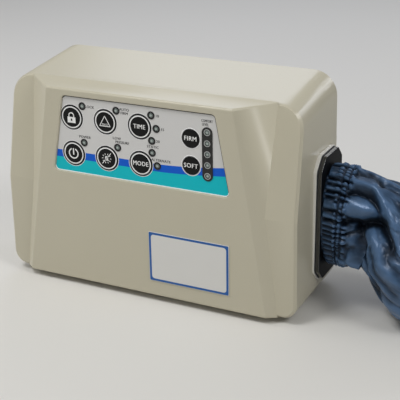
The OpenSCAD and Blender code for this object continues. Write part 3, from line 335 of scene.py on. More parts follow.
def softened(node, name, width, segments, first=None):
    """A copy of a CAD node, merged, with its sharp edges rounded as a mould leaves them; first is a step done
    on the merged mesh before that."""
    source = frame["nodes"][node]
    piece = source.copy()
    piece.data = source.data.copy()
    for key in list(piece.keys()):
        del piece[key]
    piece.parent = None
    bpy.context.scene.collection.objects.link(piece)
    pick(piece)
    named(name)
    edit_mode()
    bpy.ops.mesh.remove_doubles(threshold=0.000004)
    bpy.ops.mesh.dissolve_limited(angle_limit=FLAT_ANGLE)
    bpy.ops.object.mode_set(mode="OBJECT")
    if first:
        first(piece)
    if piece.data.has_custom_normals:
        bpy.ops.mesh.customdata_custom_splitnormals_clear()
    bevel = piece.modifiers.new("soft edge", "BEVEL")
    bevel.limit_method = "ANGLE"
    bevel.angle_limit = SHARP_ANGLE
    bevel.width = width
    bevel.segments = segments
    apply_all(piece)
    smooth(piece, 34)
    weighted = piece.modifiers.new("flat faces", "WEIGHTED_NORMAL")
    weighted.keep_sharp = True
    apply_all(piece)
    return piece


def dressed(node, name, width, segments, slot, *materials):
    """A softened copy of a CAD node, finished, in that node's stead."""
    return finished(softened(node, name, width, segments), slot, *materials, node=node)


def turned(name, profile, centre, axis=(0, 1, 0), steps=64, angle=360, start=0):
    """A round piece spun from half of its section, given in millimetres as (radius, way along the axis)."""
    nothing_selected()
    axis = Vector(axis)
    side = Vector((1, 0, 0)) if axis.z else Vector((0, 0, 1))
    if start:
        side.rotate(Quaternion(axis, math.radians(start)))
    points = [Vector(centre) + side * (r * 0.001) + axis * (t * 0.001) for r, t in profile]
    bpy.ops.mesh.primitive_plane_add(size=0.001, location=points[0])
    piece = named(name)
    edit_mode()
    bpy.ops.mesh.merge(type="CENTER")
    for a, b in zip(points, points[1:]):
        bpy.ops.mesh.extrude_region_move(TRANSFORM_OT_translate={"value": b - a})
    bpy.ops.mesh.select_all(action="SELECT")
    bpy.ops.mesh.spin(steps=steps, angle=math.radians(angle), center=centre, axis=axis)
    mended(piece, 0.000002)
    settled()
    smooth(piece, 35)
    return piece


def joined(name, pieces):
    """Several pieces made one object."""
    nothing_selected()
    for piece in pieces:
        piece.select_set(True)
    bpy.context.view_layer.objects.active = pieces[0]
    if len(pieces) > 1:
        bpy.ops.object.join()
    return named(name)


def paint_by_radius(piece, centres, limits):
    """Sets each face's material by its distance from the nearest centre seen from the front, in metres."""
    for face in piece.data.polygons:
        r = min(math.hypot(face.center.x - centre.x, face.center.z - centre.z) for centre in centres)
        face.material_index = sum(r > limit for limit in limits)


def thickened(piece, metres):
    """Gives a flat print its thickness."""
    mended(piece, 0.000001)
    solid = piece.modifiers.new("print", "SOLIDIFY")
    solid.thickness = metres
    solid.offset = 0.0
    apply_all(piece)
    return piece


def cord_line(name, points, radius, closed=False, sides=6):
    """A thin round line through points, as a mesh."""
    curve = bpy.data.curves.new(name, "CURVE")
    curve.dimensions = "3D"
    spline = curve.splines.new("POLY")
    spline.points.add(len(points) - 1)
    for p, q in zip(spline.points, points):
        p.co = (*q, 1)
    spline.use_cyclic_u = closed
    curve.bevel_depth = radius
    curve.bevel_resolution = max(0, sides // 2 - 2)
    curve.use_fill_caps = not closed
    line = bpy.data.objects.new(name, curve)
    bpy.context.scene.collection.objects.link(line)
    pick(line)
    bpy.ops.object.convert(target="MESH")
    piece = bpy.context.object
    smooth(piece, 60)
    return piece


def before(place, y):
    """A point straight before or behind another one, at depth y."""
    return Vector((place.x, y, place.z))


def spot(node):
    """The middle of a CAD node."""
    low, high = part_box(node)
    return (low + high) / 2


def repeated(name, profile, places, y, steps):
    """A round piece that faces the front at depth y, turned once and copied to each place, as one object."""
    first = turned(name, profile, before(places[0], y), steps=steps)
    pieces = [first]
    for place in places[1:]:
        copy = first.copy()
        copy.data = first.data.copy()
        bpy.context.scene.collection.objects.link(copy)
        for v in copy.data.vertices:
            v.co += place - places[0]
        pieces.append(copy)
    return joined(name, pieces)


def lamp_spots():
    """Middles of the nine small lamps, from the keys beside them."""
    step = sizes().lamp_step
    side = sizes().lamp_side_step
    keys = [before(spot(node), 0) for node in KEY_NODES]
    timer, mode = keys[2], keys[5]
    return [key + Vector((step, 0, step)) for key in keys] + [
        timer + Vector((side, 0, 0)), timer + Vector((step, 0, -step)), mode + Vector((side, 0, 0))]


def bar_spots():
    """Middles of the five level lamps, evenly up the level bar."""
    low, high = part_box("level_lamps")
    radius = (high.x - low.x) / 2
    run = high.z - low.z - 2 * radius
    return [Vector(((low.x + high.x) / 2, 0, low.z + radius + run * i / 4)) for i in range(5)]


class PUMP_OT_stage(bpy.types.Operator):
    """Sets the camera at the photographed angle, a pale floor and soft studio light"""
    bl_idname = "pump.stage"
    bl_label = "Stage, camera and light"

    def execute(self, context):
        nothing_selected()
        bpy.ops.object.camera_add(location=(0.44816, -0.87170, 0.46931), rotation=[
            math.radians(a) for a in (68.0245, 0.8554, 26.0395)])
        camera = named("camera")
        camera.data.sensor_width = 36.0
        camera.data.lens = 92.37
        camera.data.clip_start = 0.05
        camera.data.clip_end = 30.0
        context.scene.camera = camera

        bpy.ops.mesh.primitive_grid_add(x_subdivisions=8, y_subdivisions=8, size=12.0, location=(0, 0, 0))
        floor = named("floor")
        floor.data.materials.append(grained("painted plaster floor", "#DDDBD6", 0.7, 6.0, 0.05, 900.0, 0.02))

        middle = Vector((0, 0, 0.08))
        for name, place, size, power, tone in (
                ("key_softbox", (-0.45, -0.75, 1.75), 0.6, 13.8, "#FFFFFF"),
                ("front_strip", (-1.1, -1.6, 1.2), 0.4, 2.0, "#FFFFFF"),
                ("side_softbox", (1.3, -0.45, 1.5), 0.5, 8.0, "#FFFFFF"),
                ("left_softbox", (-1.7, -0.35, 1.0), 0.6, 6.0, "#FFFFFF"),
                ("back_softbox", (-0.6, 1.5, 1.3), 1.0, 5.5, "#E6EDFF"),
                ("back_strip", (0.8, 1.55, 0.85), 0.4, 3.0, "#F4F7FF")):
            bpy.ops.object.light_add(type="AREA", location=place)
            lamp = named(name)
            lamp.data.size = size
            lamp.data.energy = power
            lamp.data.color = colour(tone)[:3]
            lamp.rotation_euler = (middle - lamp.location).to_track_quat("-Z", "Y").to_euler()

        world = bpy.data.worlds.new("studio air")
        context.scene.world = world
        world.use_nodes = True
        world.node_tree.nodes.clear()
        air = add_node(world.node_tree, "Background", {"Color": colour("#F4F5F6"), "Strength": 0.3})
        add_node(world.node_tree, "OutputWorld", {}, {"Surface": air.outputs[0]})
        context.scene.view_settings.view_transform = "Standard"
        return {"FINISHED"}


def pocket_chamfer(piece):
    """Chamfers the rim of the keypad's pocket, outwards from its wall."""
    low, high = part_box("keypad_overlay")
    front = min(v.co.y for v in piece.data.vertices)
    flush = 0.00005
    margin = 0.0015
    pick(piece)
    edit_mode("DESELECT")
    bpy.ops.object.mode_set(mode="OBJECT")
    for v in piece.data.vertices:
        v.select = (v.co.y - front < flush and low.x - margin < v.co.x < high.x + margin
                    and low.z - margin < v.co.z < high.z + margin)
    bpy.ops.object.mode_set(mode="EDIT")
    bpy.ops.mesh.bevel(offset=POCKET_CHAMFER, segments=2, profile=0.5)
    bpy.ops.object.mode_set(mode="OBJECT")
    for face in piece.data.polygons:
        if face.select:
            face.material_index = 1


class PUMP_OT_shells(bpy.types.Operator):
    """Front and rear case mouldings with the soft edges of a mould"""
    bl_idname = "pump.shells"
    bl_label = "Case shells"

    def execute(self, context):
        edge = sizes().moulding_edge
        # ABS, injection moulded in a spark-eroded tool: satin putty beige with a very fine even grain
        case = grained("moulded ABS case", colours().case, 0.3, 0.9, 0.01, 60.0, 0.02)
        # The mould was polished by hand on the narrow slope round the keypad
        polished = grained("polished ABS pocket edge", colours().case, 0.14, 2.0, 0.002, 60.0, 0.02, coat=0.4)
        front = softened("front_case", "front_case_moulding", edge, 3, pocket_chamfer)
        finished(front, "shell", case, polished, node="front_case")
        dressed("rear_case", "rear_case_moulding", edge, 3, "shell", case)
        # The rim that carries the outlet: the same ABS, polished where the plate sits in it, and near white,
        # far paler than the case: a painted highlight standing in for the light along its edge
        dressed("outlet_surround", "outlet_surround_moulding", edge, 4, "surround", grained(
            "outlet rim ABS painted pale as a highlight", "#F1EFE8", 0.18, 2.0, 0.002, 60.0, 0.02, coat=0.5))
        return {"FINISHED"}


def film_material():
    """Polyester keypad film, screen printed on its back: satin, with a faint velvet grain and crisp colour
    fields."""
    material, tree, place = new_material(
        "printed polyester film", 0.38, more={"Specular IOR Level": 0.2})
    case_place = add_node(tree, "Mapping", {
        "Location": tuple(-CASE_SHIFT), "Scale": (1000, 1000, 1000)}, {"Vector": place})
    parts = add_node(tree, "SeparateXYZ", {}, {0: case_place.outputs[0]})
    # The fields' upper edges run level and then rise to the right, ever more steeply
    past = parts.outputs["X"]
    for operation, number in (("SUBTRACT", BEND_START), ("MAXIMUM", 0.0), ("POWER", 1.5)):
        past = add_node(tree, "Math", {1: number}, {0: past}, operation=operation).outputs[0]
    film = colours().film
    grain = add_node(tree, "TexNoise", {"Scale": 1000 / 1.2, "Detail": 2.0}, {"Vector": place})
    layer = add_node(tree, "Mix", {6: shaded(film, 0.97), 7: list(film)}, {0: grain.outputs[0]},
                     data_type="RGBA").outputs[2]
    for top, gain, tone in ((BAND_TOP, 0.01064, colours().band), (FIELD_TOP, 0.0093, colours().field)):
        edge = add_node(tree, "Math", {1: gain, 2: top}, {0: past}, operation="MULTIPLY_ADD")
        below = add_node(tree, "Math", {}, {0: edge.outputs[0], 1: parts.outputs["Z"]},
                         operation="GREATER_THAN")
        layer = add_node(tree, "Mix", {7: list(tone)}, {0: below.outputs[0], 6: layer},
                         data_type="RGBA").outputs[2]
    tree.links.new(layer, tree.nodes["Principled BSDF"].inputs["Base Color"])
    add_node(tree, "Bump", {"Strength": 0.4, "Distance": 0.00002}, {"Height": grain.outputs[0]},
             {0: "Normal"})
    return material


def edge_line(node, wanted, order):
    """Points, in order, along those edges of a sheet facing the front whose outward direction is wanted."""
    low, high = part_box(node)
    flat = [(v.co.x, v.co.z) for v in frame["nodes"][node].data.vertices if v.co.y < low.y + 0.0001]
    ring = [Vector(flat[k]) for k in geometry.convex_hull_2d(flat)]
    points = []
    for a, b in zip(ring, ring[1:] + ring[:1]):
        if wanted(Vector((b.y - a.y, a.x - b.x)).normalized()):
            points += [a, b]
    points.sort(key=order)
    result = [points[0]]
    for p in points:
        if (p - result[-1]).length > 0.0003:
            result.append(p)
    return [Vector((p.x, PANEL_FRONT, p.y)) for p in result]


def word(text, height, place, squeeze=1.0, bold=0.0):
    """A plain printed word or number, as flat faces to the front; bold draws it twice, a little apart."""
    if bold:
        return joined(text, [word(text, height, place - Vector((bold, 0, 0)), squeeze),
                             word(text, height, place + Vector((bold, -0.00001, 0)), squeeze)])
    nothing_selected()
    bpy.ops.object.text_add(location=(0, 0, 0))
    letters = bpy.context.object.data
    letters.body = text
    letters.align_x = "CENTER"
    letters.align_y = "CENTER"
    # A capital is 0.7 of the font's size
    letters.size = height / 0.7
    letters.space_character = 1.08
    letters.resolution_u = 3
    bpy.ops.object.convert(target="MESH")
    piece = bpy.context.object
    for v in piece.data.vertices:
        v.co = place + Vector((v.co.x * squeeze, 0, v.co.y))
    return piece


# Words beside the lamps: lamp, offset right and up in millimetres, and width
LAMP_WORDS = (
    ("LOCK", 0, 8.2, 0, 1), ("10", 2, 6.5, 0, 1), ("15", 6, 6.5, 0, 1), ("20", 7, 6.5, 0, 1),
    ("AUTO", 1, 8.8, 1.8, 1), ("FIRM", 1, 8.8, -1.7, 1), ("POWER", 3, 1.2, 5.6, 1), ("LOW", 4, -0.5, 9, 1),
    ("PRESSURE", 4, 5.2, 5.5, 0.9), ("STATIC", 5, 1, 5.8, 1), ("ALTERNATE", 8, 4, 5.6, 1))


class PUMP_OT_keypad(bpy.types.Operator):
    """Printed keypad film: colour fields, the rims round the keys, and the plain words and numbers by the
    lamps"""
    bl_idname = "pump.keypad"
    bl_label = "Keypad film"

    def execute(self, context):
        node_finish("keypad_overlay", film_material())
        y = PANEL_FRONT - PRINT_LIFT
        rim = sizes().rim_print * 1000
        dark = []
        light = []
        for node in KEY_NODES:
            centre = before(spot(node), y)
            dark.append(turned("rim", [(KEY_WELL, 0), (rim, 0)], centre))
            light.append(turned("halo", [(rim, 0.01), (rim + HALO, 0.01)], centre))
        for node in LEVEL_NODES:
            light.append(turned("halo", [(LEVEL_WELL, 0.01), (LEVEL_HALO, 0.01)], before(spot(node), y)))
        lamps = lamp_spots()
        for text, index, right, up, squeeze in LAMP_WORDS:
            place = before(lamps[index], y) + Vector((right, 0, up)) / 1000
            dark.append(word(text, SMALL_WORD, place, squeeze, FILM_BOLD))
        low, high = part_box("level_bar")
        bar_top = Vector(((low.x + high.x) / 2, y, high.z))
        dark.append(word("COMFORT", SMALL_WORD, bar_top + Vector((0, 0, 0.0056)), 0.63, KEY_BOLD))
        dark.append(word("LEVEL", SMALL_WORD, bar_top + Vector((-0.0018, 0, 0.0022)), 0.67, KEY_BOLD))
        for name, pieces, tone in (("keypad_print_dark", dark, "#1A1A1C"),
                                   ("keypad_print_light", light, "#F2F2F2")):
            piece = thickened(joined(name, pieces), PRINT_THICK)
            finished(piece, "overlay_film", ink(name.replace("_", " ") + " ink", tone))
        # A white line along the film's lower edge: painted highlight, standing in for the bright line that a
        # light from above throws along that edge
        below = edge_line("keypad_overlay", lambda out: out.y < -0.05, lambda p: p.x)
        finished(cord_line("keypad_painted_highlight_line", below, PAINTED_HIGHLIGHT_LINE, sides=10), "overlay_film", grained(
            "painted highlight along the film's lower edge", "#F6F6F4", 0.25, 1.0, 0.002, 6.0, 0.02))
        # A dark line along the film's top and right edges: painted shadow, standing in for the shade under the
        # pocket's wall
        above = edge_line("keypad_overlay", lambda out: 0.5 * out.x + out.y > 0.1, lambda p: p.x - p.y)
        finished(cord_line("keypad_painted_shadow_line", above, PAINTED_SHADOW_LINE), "overlay_film", grained(
            "painted shadow line along the film", "#1C1B1A", 0.6, 0.8, 0.01, 6.0, 0.2))
        return {"FINISHED"}


def strip(place, x0, z0, x1, z1, width):
    """A straight printed line, as a flat face, in millimetres from a place on a key."""
    nothing_selected()
    bpy.ops.mesh.primitive_plane_add(size=1, location=(0, 0, 0), rotation=(math.pi / 2, 0, 0))
    piece = bpy.context.object
    settled()
    turn = math.atan2(z1 - z0, x1 - x0)
    length = math.hypot(x1 - x0, z1 - z0)
    for v in piece.data.vertices:
        x, z = v.co.x * length, v.co.z * width
        v.co = place + 0.001 * Vector(((x0 + x1) / 2 + x * math.cos(turn) - z * math.sin(turn), 0,
                                       (z0 + z1) / 2 + x * math.sin(turn) + z * math.cos(turn)))
    return piece


def padlock(place):
    """Padlock pictogram: a body, a shackle and a keyhole left open."""
    shackle = turned("shackle", [(2.2, 0), (3.2, 0)], place + Vector((0, 0, 0.0018)), steps=24, angle=180,
                     start=90)
    return [strip(place, *line) for line in (
        (-4.4, -2.5, -0.8, -2.5, 5.8), (0.8, -2.5, 4.4, -2.5, 5.8), (-1, -0.4, 1, -0.4, 1.6),
        (-1, -4.5, 1, -4.5, 1.8), (-2.7, 0.2, -2.7, 1.9, 1), (2.7, 0.2, 2.7, 1.9, 1))] + [shackle]


def triangle(place):
    """Triangle pictogram with the word for the hardest setting."""
    corners = [(6.6 * math.cos(a), 6.6 * math.sin(a) - 0.8) for a in map(math.radians, (90, 210, 330))]
    return [strip(place, *a, *b, 0.7) for a, b in zip(corners, corners[1:] + corners[:1])] + [
        word("MAX", 0.0020, place - Vector((0, 0, 0.0026)))]


def power(place):
    """Power pictogram: an open ring and an upright bar."""
    return [turned("ring", [(4.3, 0), (5.5, 0)], place, steps=48, angle=310, start=-25),
            strip(place, 0, -1.4, 0, 5.2, 1.3)]


def quiet_bell(place):
    """Alarm pictogram, crossed out: a small bell among rays."""
    lines = [(-1.7, -0.6, 1.7, -0.6, 2.4), (-2.5, -1.9, 2.5, -1.9, 0.6), (-4.9, -5.6, 4.9, 5.6, 0.7)]
    for k in range(10):
        x, z = math.cos(math.tau * k / 10), math.sin(math.tau * k / 10)
        lines.append((3.6 * x, 3.6 * z, 5.1 * x, 5.1 * z, 0.6))
    dome = turned("bell", [(0, 0), (1.7, 0)], place + Vector((0, 0, 0.0006)), steps=20, angle=180, start=90)
    return [dome] + [strip(place, *line) for line in lines]


class PUMP_OT_keys(bpy.types.Operator):
    """Six ringed keys and two firmness keys, each with its pictogram or word"""
    bl_idname = "pump.keys"
    bl_label = "Keys"

    def execute(self, context):
        # Silicone keypad caps with a hard black print: smooth, a little glossy
        black = grained("glossy black key print", "#09090A", 0.34, 1.5, 0.004, 12.0, 0.1, ior=1.3)
        white = grained("white silicone key ring", "#F1F1F0", 0.5, 0.6, 0.008, 10.0, 0.02)
        mark = ink("white key mark ink", "#F6F6F4")
        disc = sizes().key_disc * 1000
        ring = sizes().key_ring * 1000
        marks = {"key_lock": padlock, "key_firm_hold": triangle, "key_power": power, "key_mute": quiet_bell,
                 "key_timer": "TIME", "key_mode": "MODE", "key_firmer": "FIRM", "key_softer": "SOFT"}
        for node in KEY_NODES + LEVEL_NODES:
            low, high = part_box(node)
            centre = before(spot(node), low.y)
            back = (high.y - low.y) * 1000
            flange = (high.x - low.x) * 500
            edge = flange - 0.8
            if node in KEY_NODES:
                face = [(0, -0.14), (3, -0.13), (6, -0.09), (disc - 0.7, -0.03), (disc - 0.15, 0.03),
                        (disc, 0.12), (disc + 0.12, 0.12), (ring - 0.2, 0.1), (ring, 0.14),
                        (edge - 0.05, 0.2), (edge, 0.4)]
                limits = (disc / 1000, (ring - 0.05) / 1000)
                materials = (black, white, black)
                wide = 0.92
            else:
                face = [(0, -0.2), (3, -0.18), (6, -0.1), (edge - 0.9, 0.0), (edge - 0.3, 0.12), (edge, 0.45)]
                limits = ()
                materials = (black,)
                wide = 0.95
            stem = [(edge, 2.1), (flange, 2.1), (flange, 2.9), (2.5, 2.9), (2.5, back), (0, back)]
            key = turned(node + "_cap", face + stem, centre, steps=72)
            paint_by_radius(key, [centre], limits)
            finished(key, "key_cap", *materials, node=node)
            place = before(centre, low.y - 0.00017)
            draw = marks[node]
            if isinstance(draw, str):
                parts = [word(draw, sizes().word_height, place, wide, KEY_BOLD)]
            else:
                parts = draw(place)
            piece = thickened(joined(node + "_mark", parts), KEY_PRINT_THICK)
            finished(piece, "key_cap", mark, body=body_of_node(node))
        return {"FINISHED"}


class PUMP_OT_lamps(bpy.types.Operator):
    """Bezels and smoked lenses of the nine lamps, the level bar and its five lamps"""
    bl_idname = "pump.lamps"
    bl_label = "Lamps"

    def execute(self, context):
        # Black ABS bezels, moulded glossy; lenses of smoked acrylic that look grey-green unlit
        bezel = grained("glossy black ABS bezel", "#0A0A0B", 0.24, 1.0, 0.003, 6.0, 0.1)
        rim = grained("grey lens rim", "#B9BCBA", 0.35, 0.8, 0.004, 6.0, 0.06)
        lens = grained("smoked acrylic lens", "#6A7571", 0.12, 2.0, 0.004, 1.5, 0.35, coat=0.6)
        core = grained("lamp core in a lens", "#A3ADA8", 0.16, 2.0, 0.004, 1.2, 0.2, coat=0.6)
        lamps = lamp_spots()
        levels = bar_spots()
        face = PANEL_FRONT - 0.0005
        ring = [(2.45, 1.6), (2.45, 0.15), (2.6, 0.0), (3.0, -0.1), (3.45, -0.02), (3.8, 0.2), (3.9, 0.5),
                (3.1, 0.5), (3.1, 1.6), (2.45, 1.6)]
        piece = repeated("lamp_rings", ring, lamps, face, 40)
        finished(piece, "bezel", bezel, node="lamp_bezels")
        for name, places, node in (("lamp_domes", lamps, "lamp_lenses"),
                                   ("level_lamp_domes", levels, "level_lamps")):
            low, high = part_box(node)
            deep = (high.y - low.y) * 1000
            dome = [(0, -0.15), (0.9, -0.13), (1.1, -0.1), (1.7, 0.02), (2.2, 0.28), (2.4, 0.7), (2.4, deep),
                    (0, deep)]
            piece = repeated(name, dome, places, low.y, 36)
            paint_by_radius(piece, places, (LAMP_CORE,))
            finished(piece, "lamp_lens", core, lens, node=node)
        dressed("level_bar", "level_bar_moulding", 0.0002, 2, "bezel", bezel)
        ring = [(2.5, 0.1), (2.55, -0.08), (2.8, -0.16), (3.1, -0.06), (3.15, 0.1), (2.5, 0.1)]
        finished(repeated("level_lamp_rims", ring, levels, face, 36), "bezel", rim)
        return {"FINISHED"}


def card(name, low, high, y, radius, thick):
    """A flat card with round corners that faces the front; y is its face."""
    nothing_selected()
    bpy.ops.mesh.primitive_plane_add(size=1, location=(0, 0, 0), rotation=(math.pi / 2, 0, 0))
    piece = named(name)
    piece.scale = (high.x - low.x, high.z - low.z, 1)
    piece.location = before((low + high) / 2, y + thick / 2)
    settled()
    edit_mode()
    bpy.ops.mesh.bevel(offset=radius, segments=8, affect="VERTICES")
    return thickened(piece, thick)


class PUMP_OT_label(bpy.types.Operator):
    """Bare name plate: white vinyl with a blue border"""
    bl_idname = "pump.label"
    bl_label = "Bare plate"

    def execute(self, context):
        # Vinyl label under a clear film: smooth and satin, its print crisp
        vinyl = grained("white vinyl plate", "#DCDBD7", 0.34, 1.4, 0.006, 25.0, 0.015, coat=0.15)
        border = ink("blue border ink", "#0F58A2")
        dressed("name_plate", "name_plate_base", 0.0003, 2, "plate_film", vinyl)
        low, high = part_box("name_plate")
        for name, inset, lift, radius, material in (
                ("name_plate_border", 0.0004, 0.00004, 0.0012, border),
                ("name_plate_field", 0.0027, 0.00008, 0.003, vinyl)):
            step = Vector((inset, 0, inset))
            piece = card(name, low + step, high - step, low.y - lift, radius, CARD_THICK)
            finished(piece, "plate_film", material)
        return {"FINISHED"}


def corner_rounded(points, radius, steps=6):
    """A closed outline whose corners are rounded, as a list of points."""
    result = []
    for a, v, b in zip(points[-1:] + points, points, points[1:] + points[:1]):
        u, w = (a - v).normalized(), (b - v).normalized()
        turn = math.pi - math.acos(max(-1, min(1, u.dot(w))))
        reach = radius * math.tan(turn / 2)
        start, end = v + u * reach, v + w * reach
        for k in range(steps + 1):
            t = k / steps
            result.append(start * (1 - t) ** 2 + v * 2 * t * (1 - t) + end * t ** 2)
    return result


def port_outline(x, grow):
    """Outline of the connector's plate, grown a little, on the case's side at x, in metres."""
    low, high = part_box("hose_connector")
    y0, y1, z0, z1 = low.y - grow, high.y + grow, low.z - grow, high.z + grow
    cut = 0.012
    return corner_rounded([Vector((x, y, z)) for y, z in (
        (y0 + cut, z0), (y1 - cut, z0), (y1, z0 + cut), (y1, z1 - cut), (y1 - cut, z1), (y0 + cut, z1),
        (y0, z1 - cut), (y0, z0 + cut))], 0.007)


class PUMP_OT_outlet(bpy.types.Operator):
    """Hose connector's glossy plate with its gasket, and the manifold behind it"""
    bl_idname = "pump.outlet"
    bl_label = "Air outlet"

    def execute(self, context):
        # Glass-filled nylon: a finely textured face, and a polished wall and bevel round it
        nylon = grained("polished black nylon edge", "#17191C", 0.12, 1.2, 0.003, 20.0, 0.12, 0.0, 1.0, 1.6)
        face = grained("textured black nylon plate", "#07090C", 0.55, 0.8, 0.02, 20.0, 0.15, ior=1.2)
        rubber = grained("black gasket rubber", "#202124", 0.6, 0.8, 0.02, 10.0, 0.1)
        plate = softened("hose_connector", "hose_connector_plate", 0.0021, 5)
        for polygon in plate.data.polygons:
            faces_outwards = polygon.normal.x > 0.97
            polygon.material_index = int(faces_outwards)
        finished(plate, "connector", nylon, face, node="hose_connector")
        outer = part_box("outlet_surround")[1].x
        ring = port_outline(outer + 0.0003, 0.0001)
        finished(cord_line("outlet_gasket", ring, GASKET, True, 8), "connector", rubber)
        node_finish("outlet_manifold", nylon)
        return {"FINISHED"}


# Sleeve: middle of each ring in millimetres of the case, half its width and half its height there
SLEEVE = [
    (163.6, 82, 82, 28, 49), (170, 82, 82, 28.4, 49.4), (177, 82, 81.8, 28.4, 49.4), (184, 82, 81, 28, 48),
    (189, 82, 80.6, 28, 47.5), (193.5, 82, 80.3, 29, 46.3), (203.5, 82, 78, 32, 45.5),
    (217.5, 82, 74, 37, 46), (232.5, 79, 64.5, 43, 51), (247.5, 75, 52, 48, 51.5), (263.5, 75, 44, 50, 47),
    (281.5, 82, 38, 48, 42), (301.5, 93, 34, 45, 40), (323.5, 104, 32, 44, 38),
    *((x, y, 31, 44, 37) for x, y in (
        (345.5, 117), (365.5, 132), (383.5, 152), (398.5, 175), (409.5, 200), (416.5, 228), (419.5, 258),
        (420.5, 290), (420.5, 324), (420.5, 358), (420.5, 392), (420.5, 426), (420.5, 460))),
    (420.5, 492, 30, 44, 36), (420.5, 520, 27, 44, 33), (420.5, 542, 23, 45, 29), (420.5, 558, 22, 46, 27),
    (420.5, 569.5, 22, 46, 26)]
SLEEVE_SIDES = 340
# Width of the cloth round the sleeve, over which its weave is laid out
CLOTH_ROUND = 0.26
# How far the cloth stays above the floor
ABOVE_FLOOR = 0.0004

# Creases of the pleats between the plate and the elastic, as angles round the sleeve (0 is the top, a quarter
# turn is the front)
PLEATS = (0.08, 0.56, 0.71, 0.88, 1.0, 1.27, 1.46, 1.6, 1.71, 1.8, 1.91, 2.03, 2.16, 2.33, 2.52, 2.7, 2.91,
          3.12, 3.34, 3.56, 3.79, 4.01, 4.2, 4.42, 4.65, 4.86, 5.09, 5.3, 5.52, 5.74, 5.93, 6.1)
# Rows of elastic thread, in millimetres along the sleeve at its top
ELASTIC = (12.5, 17.0)
# Folds after the elastic: height in millimetres, reach above and below the fold's line, and the line's points
# as way along the sleeve and angle round it
FOLDS = (
    (5.5, 9, 7, ((22, 1.12), (30, 1.05), (38, 1.03), (44, 1.0))),
    (-11.0, 3.5, 6, ((21, 1.44), (29, 1.38), (37, 1.3), (43, 1.19), (50, 1.06), (58, 1.0))),
    (-5.5, 3.5, 3, ((20, 0.84), (28, 0.74), (36, 0.72), (43, 0.8), (48, 0.92))),
    (5.0, 8, 3.5, ((24, 0.58), (30, 0.5), (36, 0.5), (42, 0.6), (48, 0.73), (56, 0.87), (66, 1), (80, 1.08))),
    (-4.0, 3, 3, ((17, 0.4), (23, 0.27), (29, 0.14))),
    (-4.5, 2.4, 2.4, ((31, 0.02), (36, 0.14), (42, 0.32))),
    (2.5, 7, 7, ((18, 0.2), (24, 0.05), (29, -0.08))),
    (4.0, 13, 13, ((42, 0.0), (55, 0.25), (75, 0.4), (100, 0.45))),
    (-12.0, 5, 6, ((38, 1.42), (46, 1.22), (55, 1.1), (66, 1.1), (78, 1.14))),
    (5.0, 16, 14, ((50, 1.42), (62, 1.36), (78, 1.42), (95, 1.52), (110, 1.55))),
    (-11.0, 6, 5, ((36, 1.52), (42, 1.72), (52, 1.88), (64, 2.0), (76, 2.1), (84, 2.15))),
    (-9.0, 14, 14, ((60, 2.55), (76, 2.5), (86, 2.5))),
    (8.0, 9, 9, ((26, 2.35), (34, 2.3), (42, 2.35), (47, 2.4))),
    (-5.0, 8, 8, ((31, 1.68), (38, 1.8), (44, 2.0))),
    (-6.0, 5, 5, ((84, 2.0), (90, 2.2), (94, 2.5))),
    (-1.8, 2.2, 3, ((55, 1.27), (75, 1.3), (95, 1.38))),
    (-2.2, 3, 3, ((60, 1.56), (80, 1.66), (100, 1.8))),
    (-3.0, 4, 4, ((92, 2.0), (110, 2.1), (125, 2.2))),
    (-2.5, 2.5, 2.5, ((58, 0.5), (80, 0.7), (105, 0.8))),
    (-2.0, 2.5, 2.5, ((21, 1.75), (30, 1.7), (37, 1.62))),
    (1.6, 3, 3, ((20, 1.56), (26, 1.5), (31, 1.47))),
    (-2.0, 2.5, 2.5, ((21, 2.0), (28, 2.05), (36, 2.0))))


def smooth_line(points, step):
    """Points of a Catmull-Rom curve through rows of numbers, close together."""
    rows = np.array(points, float)
    rows = np.vstack([2 * rows[0] - rows[1], rows, 2 * rows[-1] - rows[-2]])
    result = []
    for a, b, c, d in zip(rows, rows[1:], rows[2:], rows[3:]):
        count = max(2, int(np.linalg.norm(c[:3] - b[:3]) / step))
        for t in np.arange(count) / count:
            result.append(0.5 * (2 * b + (c - a) * t + (2 * a - 5 * b + 4 * c - d) * t ** 2
                                 + (3 * b - a - 3 * c + d) * t ** 3))
    result.append(rows[-2])
    return np.array(result)


def rise(x, a, b):
    """0 before a, 1 after b, eased between."""
    t = np.clip((x - a) / (b - a), 0, 1)
    return t * t * (3 - 2 * t)


def bump(x, middle, width):
    """1 at the middle, fading out about a width away."""
    return np.exp(-((x - middle) / width) ** 2)


def pillow(x, sharp):
    """Round bulges with creases between them, from 0 in a crease to 1 on a bulge."""
    return np.abs(np.sin(x)) ** sharp


def elastic_way(row, a):
    """Where a row of elastic runs at angle a: the gathers sit a little further out below than on top."""
    return row + 2.2 * (1 - np.cos(a))


def fold_height(s, a, height, above, below, points):
    """A fold along a line on the cloth, of its height on the line and its own reach on either side of it."""
    # Millimetres round the sleeve to one radian, roughly
    across = 45.0
    nearest = np.full(s.shape, 1e9)
    side = np.ones(s.shape)
    turn = np.where(a > 4.3, a - math.tau, a)
    for (s0, a0), (s1, a1) in zip(points, points[1:]):
        ds, da = s1 - s0, (a1 - a0) * across
        u, v = s - s0, (turn - a0) * across
        t = np.clip((u * ds + v * da) / (ds * ds + da * da), 0, 1)
        gap = np.hypot(u - t * ds, v - t * da)
        closer = gap < nearest
        nearest = np.where(closer, gap, nearest)
        side = np.where(closer, np.sign(ds * v - da * u), side)
    reach = np.where(side > 0, below, above)
    return height * np.exp(-(nearest / reach) ** 1.5)


def crumple(s, a):
    """Sharp irregular creases of three sizes, in millimetres, at one point of the sleeve."""
    x, y = math.sin(a), math.cos(a)
    return (1.7 - 6.0 * abs(noise.noise((2.9 * x + 5, 2.9 * y, s / 30)))
            - 3.0 * abs(noise.noise((7 * x, 7 * y + 8, s / 13)))
            - 1.3 * abs(noise.noise((16 * x, 16 * y + 3, s / 6))))


